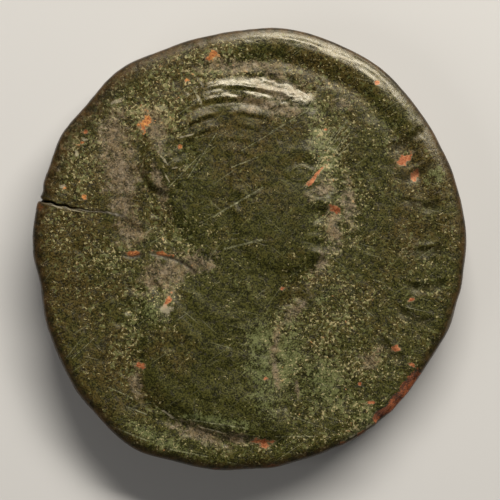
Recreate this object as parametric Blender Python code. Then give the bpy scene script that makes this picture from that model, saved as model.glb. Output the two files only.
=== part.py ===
"""A worn Roman bronze coin lying flat with its portrait side up.

The coin is one struck bronze flan. It lies on its reverse, so +Z points out of the
portrait side and +Y points to the top of the portrait. Sizes inside the shape
functions are in millimetres, measured from the middle of the flan; the finished
mesh is in metres.
"""

import bpy
import numpy as np

METRES = 0.001

# Flan outline: plain radius, then each swell or flat as its place in degrees
# (turning left from +X), its share of the radius and its half spread in degrees
BASE_RADIUS = 15.31
EDGE_SWELLS = [
    (12.0, 0.004, 16.0),
    (40.0, 0.010, 13.0),
    (57.0, 0.032, 13.0),
    (79.0, 0.036, 14.0),
    (104.0, 0.007, 9.0),
    (126.0, 0.027, 10.0),
    (148.0, 0.019, 7.0),
    (180.0, 0.006, 22.0),
    (190.0, -0.023, 7.0),
    (222.0, 0.032, 12.0),
    (240.0, 0.059, 11.0),
    (260.0, 0.030, 11.0),
    (276.0, 0.010, 5.0),
    (327.0, -0.021, 12.0),
    (345.0, -0.009, 4.0),
    (355.0, -0.007, 5.0),
]

# Levels of the two faces and the rounding of the edge
OBVERSE_LEVEL = 3.45
REVERSE_LEVEL = 0.28
EDGE_ROUNDING = 0.35
EDGE_SQUARENESS = 2.6
SHOULDER_WIDTH = 0.90
SHOULDER_DROP = 0.55
HOLLOW_ACROSS = 0.05
HOLLOW_SLANTED = 0.03

# Raised rim: proud at the upper right, low elsewhere
RIM_INSET = 0.95
RIM_HALF_WIDTH = 0.85
RIM_LOW = 0.10
RIM_HIGH = 0.42
RIM_HIGH_ANGLE = 68.0
RIM_HIGH_SPREAD = 50.0
RIM_RIGHT = 0.12
RIM_RIGHT_ANGLE = -5.0
RIM_RIGHT_SPREAD = 45.0
GROOVE_INSET = 2.45
GROOVE_HALF_WIDTH = 0.60
GROOVE_DEPTH = 0.16

# Chip knocked off the lower right edge
CHIP_ANGLE = 315.5
CHIP_SPREAD = 9.0
CHIP_WIDTH = 1.05
CHIP_DEPTH = 0.95

# Crack running in from the left edge
CRACK_MIDDLE_LINE = [
    (-16.2, 3.95),
    (-14.9, 3.62),
    (-13.8, 3.24),
    (-12.6, 2.98),
    (-11.6, 2.70),
    (-10.4, 2.60),
    (-9.2, 2.46),
]
CRACK_MOUTH = 0.32
CRACK_TIP = 0.05

# Bust: levels of the relief above the field
BUST_STEP = 0.30
BUST_STEP_SLOPE = 0.70
BUST_SWELL = 0.18
BUST_SWELL_WIDTH = 2.8
HEAD_SWELL = 0.10
HEAD_MIDDLE = (1.4, 3.6)
HEAD_HALF_SIZE = (4.6, 5.6)
NECK_DROP = 0.12
WORN_LEVEL = 0.62
WEAR_SHARPNESS = 13.0

# Face in profile, set out by thirds from hairline to chin
HAIRLINE = 9.6
BROW = 6.2
NOSE_BASE = 2.5
CHIN = -1.15
FACE_PLANE = 4.9
NOSE_REACH = 1.18
LIP_REACH = 0.26
CHIN_REACH = 0.26

# Outline of the bust from the chin down the throat to the cut of the bust
THROAT = [
    (4.0, -1.62),
    (3.0, -2.1),
    (2.35, -3.1),
    (1.95, -4.5),
    (1.75, -6.2),
    (1.85, -8.4),
    (2.15, -10.4),
    (2.75, -12.3),
]

# Outline of the bust along the cut, up the back, over the crown to the forehead
BACK = [
    (2.5, -13.15),
    (1.4, -13.42),
    (-0.4, -13.32),
    (-2.6, -12.85),
    (-5.1, -11.75),
    (-6.9, -10.4),
    (-7.7, -8.5),
    (-8.1, -5.9),
    (-7.6, -4.0),
    (-6.2, -3.0),
    (-4.8, -2.1),
    (-4.15, -0.7),
    (-4.5, 0.9),
    (-5.8, 2.6),
    (-6.5, 5.0),
    (-6.4, 7.3),
    (-5.3, 9.5),
    (-3.3, 11.3),
    (-0.6, 12.35),
    (1.9, 12.15),
    (3.7, 11.25),
    (4.6, 10.5),
]

# Hair: lower edge from the forehead to the nape, locks and the coiled knot
HAIR_EDGE = [
    (5.7, 10.3),
    (4.7, 9.3),
    (3.3, 8.3),
    (1.7, 7.2),
    (0.6, 6.0),
    (-0.1, 5.0),
    (-1.3, 4.4),
    (-2.1, 3.2),
    (-2.9, 1.7),
    (-3.7, 0.3),
    (-5.2, -0.6),
]
CROWN_MIDDLE = (-0.9, 3.6)
LOCK_PITCH = 1.08
LOCK_RISE = 0.17
HAIR_STEP = 0.04
WAVE_TURNS = 7.0
WAVE_SWING = 0.15
KNOT_MIDDLE = (-5.75, 5.9)
KNOT_HALF_SIZE = (1.75, 1.95)
KNOT_TILT = 20.0
KNOT_STEP = 0.34
KNOT_SWELL = 0.16
COIL_PITCH = 0.72
COIL_RISE = 0.13

# Jaw line from the ear to the chin
JAW = [
    (-1.0, 2.0),
    (-0.8, 0.7),
    (0.1, -0.45),
    (1.5, -1.2),
    (3.0, -1.5),
    (4.5, -1.45),
]

# Ear
EAR_MIDDLE = (-0.75, 3.35)
EAR_HALF_SIZE = (0.60, 0.98)
EAR_TILT = 12.0
EAR_RISE = 0.15
EAR_CUP = 0.09

# Rounded features: middle, half sizes, tilt in degrees and rise
HUMPS = [
    ((3.60, 5.30), (1.15, 0.72), -6.0, -0.12),
    ((3.45, 5.30), (0.70, 0.40), -4.0, 0.13),
    ((5.35, 2.98), (0.50, 0.42), 0.0, 0.10),
    ((2.70, 3.10), (1.60, 1.30), 20.0, 0.06),
    ((4.90, 1.62), (0.80, 0.30), 8.0, 0.07),
    ((4.80, 0.86), (0.65, 0.28), -5.0, 0.06),
    ((4.50, 0.28), (0.60, 0.24), 0.0, -0.045),
    ((4.50, -0.45), (0.75, 0.60), 0.0, 0.08),
]

# Line features of the face and neck: middle line, half width and rise
STROKES = [
    ([(2.60, 5.25), (3.10, 5.72), (3.75, 5.82), (4.30, 5.50)], 0.16, 0.09),
    ([(1.90, 6.35), (3.00, 6.90), (4.10, 6.80), (4.95, 6.45)], 0.34, 0.10),
    ([(4.72, 3.55), (4.60, 3.00), (4.78, 2.50), (5.20, 2.38)], 0.17, -0.06),
    ([(4.15, 1.22), (4.80, 1.27), (5.50, 1.20)], 0.15, -0.09),
    ([(-1.70, 0.40), (-0.40, -2.00), (0.90, -4.20)], 0.55, 0.05),
]

# Cloak: neckline and folds, each as its middle line, half width and rise
NECKLINE = [(-4.9, -2.1), (-3.2, -3.3), (-0.8, -4.4), (2.4, -4.7)]
NECKLINE_STEP = 0.07
FOLDS = [
    ([(-4.6, -2.6), (-3.2, -4.1), (-1.2, -5.2), (1.4, -5.5)], 0.38, 0.085),
    ([(-5.6, -3.5), (-4.6, -5.6), (-2.2, -7.3), (1.2, -8.0)], 0.44, 0.075),
    ([(-6.4, -4.3), (-5.9, -7.2), (-3.8, -9.4), (-0.4, -10.6), (1.6, -10.7)], 0.46, 0.070),
    ([(-7.0, -5.6), (-6.8, -8.2), (-5.4, -10.3), (-3.4, -11.4)], 0.40, 0.060),
]

# Worn marks of the border on the right, strokes only
BORDER_MARKS = [
    [(10.2, 7.6), (11.4, 8.3)],
    [(11.0, 5.5), (12.2, 6.0)],
    [(11.4, 3.0), (12.9, 3.15)],
    [(11.5, 0.1), (13.3, 0.05)],
    [(11.4, -2.5), (12.8, -2.65)],
    [(11.3, -4.4), (12.6, -4.8)],
    [(9.6, -6.2), (10.5, -7.1)],
]
MARK_HALF_WIDTH = 0.20
MARK_RISE = 0.09

# Reverse: a plain standing draped figure, worn down to its flats
FIGURE_RISE = 0.42
FIGURE_HUMPS = [
    ((0.0, 8.0), (0.95, 1.30), 0.0),
    ((0.0, 4.6), (2.10, 2.10), 0.0),
    ((0.1, 0.4), (2.00, 4.20), 0.0),
    ((0.3, -4.6), (2.50, 4.00), 0.0),
    ((-5.6, 3.9), (0.85, 0.60), 20.0),
]
FIGURE_STROKES = [
    ([(-1.6, 5.4), (-3.3, 3.4), (-5.3, 3.7)], 0.50),
    ([(1.7, 5.4), (3.3, 3.4), (4.0, 1.2)], 0.50),
    ([(4.1, 8.0), (4.3, -8.6)], 0.28),
    ([(-7.2, -9.3), (7.2, -9.3)], 0.30),
]
FOOT_GAP = [(-0.2, -8.4), (0.1, -3.0), (-0.6, 1.6)]
REVERSE_MARK_ANGLES = [-38.0, -24.0, -10.0, 6.0, 22.0, 142.0, 158.0, 176.0, 194.0, 212.0]
REVERSE_MARK_RADIUS = 11.9
REVERSE_MARK_LENGTH = 1.3
REVERSE_RIM_RISE = 0.34
REVERSE_RIM_INSET = 1.35
REVERSE_RIM_HALF_WIDTH = 0.70

# Fineness of the mesh
OBVERSE_RINGS = 96
REVERSE_RINGS = 48
EDGE_ROWS = 6
KEPT_SHARE = 0.112
FLAT_SNAP = 0.012
PATH_STEPS = 6
FACE_STEPS = 40

# Colour of the patina
PATINA_COLOUR = (0.066, 0.056, 0.021, 1.0)
PATINA_ROUGHNESS = 0.48
PATINA_METALLIC = 0.35


def bell(value, width):
    """Smooth hump: one where the value is nought, dying away past the width."""
    return np.exp(-((value / width) ** 2))


def ease(value, start, end):
    """Smooth ramp from nought at the start to one at the end."""
    share = np.clip((value - start) / (end - start), 0.0, 1.0)
    return share * share * (3.0 - 2.0 * share)


def turn_from(angle, middle):
    """Turn in degrees from the middle angle, kept within half a turn."""
    return (angle - middle + 180.0) % 360.0 - 180.0


def flan_radius(angle):
    """Outline radius: the plain radius times one plus every swell at that angle."""
    total = np.ones_like(angle)
    for middle, share, spread in EDGE_SWELLS:
        total = total + share * bell(turn_from(angle, middle), spread)
    return BASE_RADIUS * total


def smooth_path(points):
    """Rounded line through the points, cubic between each pair of neighbours."""
    knots = np.array(points, dtype=float)
    if len(knots) < 3:
        return knots
    ends = np.vstack([2.0 * knots[0] - knots[1], knots, 2.0 * knots[-1] - knots[-2]])
    share = np.linspace(0.0, 1.0, PATH_STEPS, endpoint=False)[:, None]
    spans = []
    for before, start, end, after in zip(ends[:-3], ends[1:-2], ends[2:-1], ends[3:]):
        slope = (end - before) * share
        bend = (2.0 * before - 5.0 * start + 4.0 * end - after) * share**2
        twist = (3.0 * start - before - 3.0 * end + after) * share**3
        spans.append(0.5 * (2.0 * start + slope + bend + twist))
    spans.append(knots[-1:])
    return np.vstack(spans)


def path_side(x, y, path):
    """Distance to a line, counted positive on its left hand and negative on its right."""
    nearest = np.full(x.shape, np.inf)
    side = np.ones(x.shape)
    for (start_x, start_y), (end_x, end_y) in zip(path[:-1], path[1:]):
        run_x = end_x - start_x
        run_y = end_y - start_y
        along = ((x - start_x) * run_x + (y - start_y) * run_y) / (run_x**2 + run_y**2)
        share = np.clip(along, 0.0, 1.0)
        gap = (x - start_x - share * run_x) ** 2 + (y - start_y - share * run_y) ** 2
        lean = run_x * (y - start_y) - run_y * (x - start_x)
        closer = gap < nearest
        side = np.where(closer, np.where(lean < 0.0, -1.0, 1.0), side)
        nearest = np.where(closer, gap, nearest)
    return np.sqrt(nearest) * side


def depth_inside(x, y, loop):
    """Distance to a closed outline, positive inside it and negative outside."""
    closed = np.vstack([loop, loop[:1]])
    inside = np.zeros(x.shape, dtype=bool)
    for (start_x, start_y), (end_x, end_y) in zip(closed[:-1], closed[1:]):
        if start_y != end_y:
            share = (y - start_y) / (end_y - start_y)
            spans = (start_y > y) != (end_y > y)
            inside ^= spans & (x < start_x + share * (end_x - start_x))
    gap = np.abs(path_side(x, y, closed))
    return np.where(inside, gap, -gap)


def ridge(x, y, points, half_width):
    """Rounded ridge of height one along a smooth line."""
    return bell(path_side(x, y, smooth_path(points)), half_width)


def oval_reach(x, y, middle, half_size, tilt):
    """How far a spot is from the middle of a tilted oval, one being on the oval."""
    turn = np.radians(tilt)
    along = (x - middle[0]) * np.cos(turn) + (y - middle[1]) * np.sin(turn)
    across = (y - middle[1]) * np.cos(turn) - (x - middle[0]) * np.sin(turn)
    return np.hypot(along / half_size[0], across / half_size[1])


def smooth_lower(first, second, sharpness):
    """The lower of two heights with a rounded change from one to the other."""
    return -np.log(np.exp(-sharpness * first) + np.exp(-sharpness * second)) / sharpness


def face_front(y):
    """Profile of the face: a plane plus brow, nose, lips and chin as soft humps."""
    root = BROW - 0.5
    tip = NOSE_BASE + 0.55
    fall = np.clip((root - y) / (root - tip), 0.0, 1.0)
    front = FACE_PLANE - 0.035 * np.clip(y - BROW - 0.8, 0.0, None) ** 2
    front = front + 0.30 * bell(y - BROW - 0.30, 1.3)
    front = front + NOSE_REACH * fall * ease(y, NOSE_BASE - 0.15, tip + 0.12)
    front = front + 0.30 * ease(NOSE_BASE - y, -0.3, 0.4) * ease(y, CHIN - 0.2, CHIN + 1.2)
    front = front + LIP_REACH * bell(y - 1.62, 0.40)
    front = front + 0.85 * LIP_REACH * bell(y - 0.86, 0.36)
    front = front - 0.12 * bell(y - 0.28, 0.36)
    front = front + CHIN_REACH * bell(y + 0.42, 0.60)
    return front - 0.75 * ease(CHIN - y, -0.6, 0.1)


def bust_outline():
    """Closed outline of the bust: face from the top down, then throat, cut and back."""
    heights = np.linspace(HAIRLINE + 0.3, CHIN - 0.1, FACE_STEPS)
    face = np.stack([face_front(heights), heights], axis=1)
    rest = smooth_path([face[-1]] + THROAT + BACK + [face[0]])
    return np.vstack([face[:-1], rest[:-1]])


def hair_relief(x, y, edge):
    """Waved locks: rings about the crown middle, swung in and out as they go round."""
    out_x = x - CROWN_MIDDLE[0]
    out_y = y - CROWN_MIDDLE[1]
    way = np.arctan2(out_y, out_x)
    ring = np.hypot(out_x, out_y) + WAVE_SWING * np.sin(way * WAVE_TURNS)
    lock = np.abs(np.cos(np.pi * ring / LOCK_PITCH)) ** 0.8
    return edge * (HAIR_STEP + LOCK_RISE * lock)


def knot_relief(x, y, reach):
    """Coiled knot: a low dome with one ridge that winds outward turn by turn."""
    out_x = x - KNOT_MIDDLE[0]
    out_y = y - KNOT_MIDDLE[1]
    coil = np.hypot(out_x, out_y) / COIL_PITCH - np.arctan2(out_y, out_x) / (2.0 * np.pi)
    eye = ease(reach, 0.12, 0.45)
    swirl = np.abs(np.cos(np.pi * coil)) * eye + 0.8 * (1.0 - eye)
    return KNOT_STEP + KNOT_SWELL * np.sqrt(np.clip(1.0 - reach**2, 0.0, 1.0)) + COIL_RISE * swirl


def cloak_relief(x, y, depth):
    """Cloak: a step at the neckline, then each fold as a ridge with a crease beside it."""
    cloth = ease(depth, 0.05, 0.6) * ease(-y, 1.8, 3.0)
    collar = path_side(x, y, smooth_path(NECKLINE))
    total = NECKLINE_STEP * ease(-collar, -0.12, 0.22)
    for points, half_width, rise in FOLDS:
        gap = np.abs(path_side(x, y, smooth_path(points)))
        crease = bell(gap - 1.6 * half_width, 0.5 * half_width)
        total = total + rise * (bell(gap, half_width) - 0.4 * crease)
    return cloth * total


def bust_relief(x, y):
    """Height of the bust above the field, with the high spots worn to one level."""
    depth = depth_inside(x, y, bust_outline())
    within = ease(depth, -0.05, 0.5)
    inward = np.clip(depth / BUST_SWELL_WIDTH, 0.0, 1.0)
    height = BUST_STEP * ease(depth, -0.30, BUST_STEP_SLOPE)
    height = height + BUST_SWELL * np.sqrt(1.0 - (1.0 - inward) ** 2)
    reach = oval_reach(x, y, HEAD_MIDDLE, HEAD_HALF_SIZE, 0.0)
    height = height + within * HEAD_SWELL * np.clip(1.0 - reach**2, 0.0, 1.0)

    jaw = path_side(x, y, smooth_path(JAW))
    below_jaw = ease(-jaw, -0.15, 0.40) * ease(y, -4.6, -1.2) * ease(x, -2.2, -0.6)
    height = height - within * (NECK_DROP * below_jaw + 0.04 * bell(jaw, 0.25))

    above_edge = -path_side(x, y, smooth_path(HAIR_EDGE))
    edge = ease(above_edge, -0.15, 0.25) * ease(y, -1.2, 0.2) * ease(depth, -0.10, 0.40)
    height = height + hair_relief(x, y, edge)

    reach = oval_reach(x, y, KNOT_MIDDLE, KNOT_HALF_SIZE, KNOT_TILT)
    cover = ease(1.12 - reach, 0.0, 0.22)
    height = height * (1.0 - cover) + knot_relief(x, y, reach) * cover
    height = height - 0.10 * bell(reach - 1.13, 0.09) * ease(depth, -0.2, 0.4)

    reach = oval_reach(x, y, EAR_MIDDLE, EAR_HALF_SIZE, EAR_TILT)
    height = height + EAR_RISE * bell(reach - 0.85, 0.30) - EAR_CUP * bell(reach, 0.45)

    for middle, half_size, tilt, rise in HUMPS:
        height = height + within * rise * bell(oval_reach(x, y, middle, half_size, tilt), 1.0)
    for points, half_width, rise in STROKES:
        height = height + within * rise * ridge(x, y, points, half_width)
    height = height + cloak_relief(x, y, depth)
    ground = smooth_lower(0.0, WORN_LEVEL, WEAR_SHARPNESS)
    return smooth_lower(height, WORN_LEVEL, WEAR_SHARPNESS) - ground


def rim_relief(x, y, inset):
    """Rim: a rounded ridge near the edge, a groove inside it and a dropping shoulder."""
    angle = np.degrees(np.arctan2(y, x))
    proud = bell(turn_from(angle, RIM_HIGH_ANGLE), RIM_HIGH_SPREAD)
    right = bell(turn_from(angle, RIM_RIGHT_ANGLE), RIM_RIGHT_SPREAD)
    crest = RIM_LOW + RIM_HIGH * proud + RIM_RIGHT * right
    height = crest * bell(inset - RIM_INSET, RIM_HALF_WIDTH)
    height = height - GROOVE_DEPTH * proud * bell(inset - GROOVE_INSET, GROOVE_HALF_WIDTH)
    return height - SHOULDER_DROP * np.clip(1.0 - inset / SHOULDER_WIDTH, 0.0, 1.0) ** 2


def chip_drop(x, y, inset):
    """Slope of the chip: nought inside it, dropping to its full depth at the edge."""
    angle = np.degrees(np.arctan2(y, x))
    reach = 1.0 - ease(np.abs(turn_from(angle, CHIP_ANGLE)), 0.75 * CHIP_SPREAD, 1.15 * CHIP_SPREAD)
    return CHIP_DEPTH * reach * np.clip(1.0 - inset / CHIP_WIDTH, 0.0, 1.0)


def obverse_height(x, y, inset):
    """Height of the portrait side: level, hollows, rim, bust and border marks."""
    height = OBVERSE_LEVEL + rim_relief(x, y, inset) + bust_relief(x, y)
    height = height + HOLLOW_ACROSS * np.sin(0.55 * x + 1.3) * np.cos(0.48 * y - 0.6)
    height = height + HOLLOW_SLANTED * np.sin(0.9 * x - 0.7 * y)
    for points in BORDER_MARKS:
        height = height + MARK_RISE * ridge(x, y, points, MARK_HALF_WIDTH)
    return height - chip_drop(x, y, inset)


def reverse_height(x, y, inset):
    """Height of the reverse: its sunken field less the figure, cut off flat at nought."""
    rise = REVERSE_RIM_RISE * bell(inset - REVERSE_RIM_INSET, REVERSE_RIM_HALF_WIDTH)
    for middle, half_size, tilt in FIGURE_HUMPS:
        rise = np.maximum(rise, FIGURE_RISE * bell(oval_reach(x, y, middle, half_size, tilt), 1.0))
    for points, half_width in FIGURE_STROKES:
        rise = np.maximum(rise, FIGURE_RISE * ridge(x, y, points, half_width))
    rise = rise - 0.5 * FIGURE_RISE * ridge(x, y, FOOT_GAP, 0.30)
    for angle in REVERSE_MARK_ANGLES:
        outward = np.array([np.cos(np.radians(angle)), np.sin(np.radians(angle))])
        start = (REVERSE_MARK_RADIUS - 0.5 * REVERSE_MARK_LENGTH) * outward
        end = (REVERSE_MARK_RADIUS + 0.5 * REVERSE_MARK_LENGTH) * outward
        rise = np.maximum(rise, 0.7 * REVERSE_LEVEL * ridge(x, y, [start, end], MARK_HALF_WIDTH))
    shoulder = SHOULDER_DROP * np.clip(1.0 - inset / SHOULDER_WIDTH, 0.0, 1.0) ** 2
    return np.maximum(REVERSE_LEVEL - rise + shoulder, 0.0)


def disc_grid(rings):
    """Disc of even triangles: ring k holds six times k spots, all within radius one."""
    radius = [np.zeros(1)]
    angle = [np.zeros(1)]
    for ring in range(1, rings + 1):
        radius.append(np.full(6 * ring, ring / rings))
        angle.append(np.arange(6 * ring) * 60.0 / ring)
    faces = []
    for ring in range(rings):
        inner_first = 0 if ring == 0 else 1 + 3 * ring * (ring - 1)
        inner_count = max(6 * ring, 1)
        outer_first = 1 + 3 * ring * (ring + 1)
        outer_count = 6 * (ring + 1)
        for sector in range(6):
            step = np.arange(ring + 1)
            outer = outer_first + (sector * (ring + 1) + step) % outer_count
            outer_next = outer_first + (sector * (ring + 1) + step + 1) % outer_count
            inner = inner_first + (sector * ring + step) % inner_count
            faces.append(np.stack([inner, outer, outer_next], axis=1))
            inner_next = inner_first + (sector * ring + step[:-1] + 1) % inner_count
            faces.append(np.stack([inner[:-1], outer_next[:-1], inner_next], axis=1))
    return np.concatenate(radius), np.concatenate(angle), np.vstack(faces)


def face_side(rings, height_function):
    """One face of the coin: the disc grid stretched to the outline and raised."""
    share, angle, faces = disc_grid(rings)
    outline = flan_radius(angle)
    reach = share * (outline - EDGE_ROUNDING)
    x = reach * np.cos(np.radians(angle))
    y = reach * np.sin(np.radians(angle))
    height = height_function(x, y, outline - reach)
    return np.stack([x, y, height], axis=1), faces


def edge_band(top, bottom):
    """Rounded edge: rows from the top ring to the bottom ring, bulging to the outline."""
    rows = []
    for row in range(1, EDGE_ROWS):
        share = 0.5 - 0.5 * np.cos(np.pi * row / EDGE_ROWS)
        bulge = EDGE_ROUNDING * np.sqrt(1.0 - np.abs(1.0 - 2.0 * share) ** EDGE_SQUARENESS)
        spot = top + (bottom - top) * share
        reach = np.hypot(top[:, 0], top[:, 1])
        spot[:, :2] = top[:, :2] * ((reach + bulge) / reach)[:, None]
        rows.append(spot)
    return rows


def flan_mesh():
    """Vertices and triangles of the whole flan as one closed skin."""
    top, top_faces = face_side(OBVERSE_RINGS, obverse_height)
    bottom, bottom_faces = face_side(REVERSE_RINGS, reverse_height)
    fine = 6 * OBVERSE_RINGS
    coarse = 6 * REVERSE_RINGS
    top_first = len(top) - fine
    bottom_ring = bottom[-coarse:]
    halfway = 0.5 * (bottom_ring + np.roll(bottom_ring, -1, axis=0))
    bottom_line = np.stack([bottom_ring, halfway], axis=1).reshape(-1, 3)
    rows = edge_band(top[-fine:], bottom_line)
    vertices = np.vstack([top] + rows + [bottom])

    step = np.arange(fine)
    step_next = (step + 1) % fine
    row_first = [top_first] + [len(top) + fine * row for row in range(EDGE_ROWS - 1)]
    faces = [top_faces]
    for upper, lower in zip(row_first[:-1], row_first[1:]):
        faces.append(np.stack([upper + step, lower + step, lower + step_next], axis=1))
        faces.append(np.stack([upper + step, lower + step_next, upper + step_next], axis=1))

    bottom_first = len(top) + fine * (EDGE_ROWS - 1)
    ring_first = bottom_first + len(bottom) - coarse
    pair = np.arange(coarse)
    here = row_first[-1] + 2 * pair
    half = here + 1
    there = row_first[-1] + (2 * pair + 2) % fine
    low = ring_first + pair
    low_next = ring_first + (pair + 1) % coarse
    faces.append(np.stack([here, low, half], axis=1))
    faces.append(np.stack([half, low, low_next], axis=1))
    faces.append(np.stack([half, low_next, there], axis=1))
    faces.append(bottom_faces[:, ::-1] + bottom_first)
    return vertices, np.vstack(faces)


def crack_prism(shift):
    """Upright wedge along the crack: wide at the mouth and thin at the inner end."""
    line = np.array(CRACK_MIDDLE_LINE)
    run = np.gradient(line, axis=0)
    across = np.stack([-run[:, 1], run[:, 0]], axis=1)
    across = across / np.linalg.norm(across, axis=1)[:, None]
    width = np.linspace(CRACK_MOUTH, CRACK_TIP, len(line))[:, None]
    loop = np.vstack([line + 0.5 * width * across, (line - 0.5 * width * across)[::-1]])
    loop = loop - shift[:2]
    count = len(loop)
    low = np.column_stack([loop, np.full(count, -1.0)])
    high = np.column_stack([loop, np.full(count, OBVERSE_LEVEL + 1.5)])
    faces = []
    half = count // 2
    for base, flip in ((0, True), (count, False)):
        for k in range(half - 1):
            quad = [base + k, base + k + 1, base + count - 2 - k, base + count - 1 - k]
            faces.append(tuple(quad if flip else quad[::-1]))
    for k in range(count):
        after = (k + 1) % count
        faces.append((k, count + k, count + after, after))
    return np.vstack([low, high]), faces


def add_object(name, vertices, faces):
    """New mesh object in the scene, in metres."""
    mesh = bpy.data.meshes.new(name)
    mesh.from_pydata([tuple(spot) for spot in vertices * METRES], [], [tuple(f) for f in faces])
    mesh.validate()
    mesh.update()
    item = bpy.data.objects.new(name, mesh)
    bpy.context.scene.collection.objects.link(item)
    return item


def thinned_mesh(item, share):
    """Copy of the object's mesh with only the triangles that its shape needs."""
    thin = item.modifiers.new("thin", "DECIMATE")
    thin.ratio = share
    depsgraph = bpy.context.evaluated_depsgraph_get()
    mesh = bpy.data.meshes.new_from_object(item.evaluated_get(depsgraph))
    item.modifiers.remove(thin)
    return mesh


def patina_material():
    """Dark olive patina over bronze."""
    material = bpy.data.materials.new("bronze_patina")
    material.use_nodes = True
    shader = material.node_tree.nodes["Principled BSDF"]
    shader.inputs["Base Color"].default_value = PATINA_COLOUR
    shader.inputs["Roughness"].default_value = PATINA_ROUGHNESS
    shader.inputs["Metallic"].default_value = PATINA_METALLIC
    return material


for old in list(bpy.data.objects):
    bpy.data.objects.remove(old)

# The flan
coin = add_object("coin", *flan_mesh())
coin.data = thinned_mesh(coin, KEPT_SHARE)
coin.data.name = "coin_flan"
flat = np.empty(len(coin.data.vertices) * 3)
coin.data.vertices.foreach_get("co", flat)
spots = flat.reshape(-1, 3)
spots[:, 2] = np.where(spots[:, 2] < FLAT_SNAP * METRES, 0.0, spots[:, 2])
middle = 0.5 * (spots.min(axis=0) + spots.max(axis=0))
middle[2] = 0.0
spots = spots - middle
coin.data.vertices.foreach_set("co", spots.ravel())
coin.data.update()
for polygon in coin.data.polygons:
    polygon.use_smooth = True
coin.data.materials.append(patina_material())

# The crack
crack = add_object("crack_cutter", *crack_prism(middle / METRES))
crack.hide_render = True
crack.display_type = "WIRE"
cut = coin.modifiers.new("crack", "BOOLEAN")
cut.operation = "DIFFERENCE"
cut.solver = "EXACT"
cut.object = crack
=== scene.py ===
import math

import bpy
import numpy as np
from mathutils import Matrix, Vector


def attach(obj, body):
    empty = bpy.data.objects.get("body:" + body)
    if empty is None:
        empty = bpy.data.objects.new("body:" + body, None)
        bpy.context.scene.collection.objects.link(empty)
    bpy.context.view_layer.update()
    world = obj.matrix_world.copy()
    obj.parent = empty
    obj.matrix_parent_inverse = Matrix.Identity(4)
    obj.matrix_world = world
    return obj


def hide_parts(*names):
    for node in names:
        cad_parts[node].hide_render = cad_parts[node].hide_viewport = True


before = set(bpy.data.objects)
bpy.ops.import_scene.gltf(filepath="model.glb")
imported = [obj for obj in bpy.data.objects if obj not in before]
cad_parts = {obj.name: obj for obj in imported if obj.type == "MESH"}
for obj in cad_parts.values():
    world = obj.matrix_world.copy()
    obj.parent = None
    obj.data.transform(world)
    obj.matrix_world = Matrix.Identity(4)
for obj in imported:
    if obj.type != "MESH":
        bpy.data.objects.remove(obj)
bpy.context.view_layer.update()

# The flan
# One round of bronze, cast hot in an open mould and struck between two dies. It is thick,
# a little squarish from the hammer, split at its left edge and rounded by long use.

MM = 0.001
BASE_RADIUS = 15.31
EDGE_SWELLS = [
    (12.0, 0.004, 16.0), (40.0, 0.010, 13.0), (57.0, 0.032, 13.0), (79.0, 0.036, 14.0),
    (104.0, 0.007, 9.0), (126.0, 0.027, 10.0), (148.0, 0.019, 7.0), (164.4, -0.010, 1.6),
    (180.0, 0.006, 22.0), (190.0, -0.023, 7.0), (222.0, 0.032, 12.0), (240.0, 0.059, 11.0),
    (260.0, 0.030, 11.0), (276.0, 0.010, 5.0), (327.0, -0.021, 12.0), (345.0, -0.009, 4.0),
    (355.0, -0.007, 5.0),
]
OBVERSE_LEVEL = 3.40
REVERSE_LEVEL = 0.28
EDGE_ROUNDING = 0.35
EDGE_SQUARENESS = 2.6
SHOULDER_WIDTH = 0.90
SHOULDER_DROP = 0.50

OBVERSE_RINGS = 150
REVERSE_RINGS = 75
EDGE_ROWS = 12
GRAIN_LATTICE = 96


def bell(value, width):
    """Smooth hump: exp(-(value / width) squared)."""
    return np.exp(-((value / width) ** 2))


def ease(value, start, end):
    """Smooth ramp from 0 at start to 1 at end: 3t^2 - 2t^3 of the share t of the way."""
    share = np.clip((value - start) / (end - start), 0.0, 1.0)
    return share * share * (3.0 - 2.0 * share)


def turn_from(angle, middle):
    """Degrees from the middle angle, wrapped to within half a turn."""
    return (angle - middle + 180.0) % 360.0 - 180.0


def flan_radius(angle):
    """Outline radius: base radius x (1 + sum of each swell's share x bell of its turn)."""
    total = np.ones_like(angle)
    for middle, share, spread in EDGE_SWELLS:
        total = total + share * bell(turn_from(angle, middle), spread)
    return BASE_RADIUS * total


def smooth_path(points, steps=7):
    """Rounded line through the points: the cubic that passes each knot with the
    slope of its neighbours, cut into even steps."""
    knots = np.array(points, dtype=float)
    if len(knots) < 3:
        return knots
    ends = np.vstack([2.0 * knots[0] - knots[1], knots, 2.0 * knots[-1] - knots[-2]])
    share = np.linspace(0.0, 1.0, steps, endpoint=False)[:, None]
    spans = []
    for before, start, end, after in zip(ends[:-3], ends[1:-2], ends[2:-1], ends[3:]):
        bend = (2.0 * before - 5.0 * start + 4.0 * end - after) * share**2
        twist = (3.0 * start - before - 3.0 * end + after) * share**3
        spans.append(0.5 * (2.0 * start + (end - before) * share + bend + twist))
    spans.append(knots[-1:])
    return np.vstack(spans)


def path_side(x, y, path):
    """Distance to a line: least over its pieces, positive on its left hand."""
    nearest = np.full(x.shape, np.inf)
    side = np.ones(x.shape)
    for (start_x, start_y), (end_x, end_y) in zip(path[:-1], path[1:]):
        run_x, run_y = end_x - start_x, end_y - start_y
        along = ((x - start_x) * run_x + (y - start_y) * run_y) / (run_x**2 + run_y**2)
        share = np.clip(along, 0.0, 1.0)
        gap = (x - start_x - share * run_x) ** 2 + (y - start_y - share * run_y) ** 2
        lean = run_x * (y - start_y) - run_y * (x - start_x)
        closer = gap < nearest
        side = np.where(closer, np.where(lean < 0.0, -1.0, 1.0), side)
        nearest = np.where(closer, gap, nearest)
    return np.sqrt(nearest) * side


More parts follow.
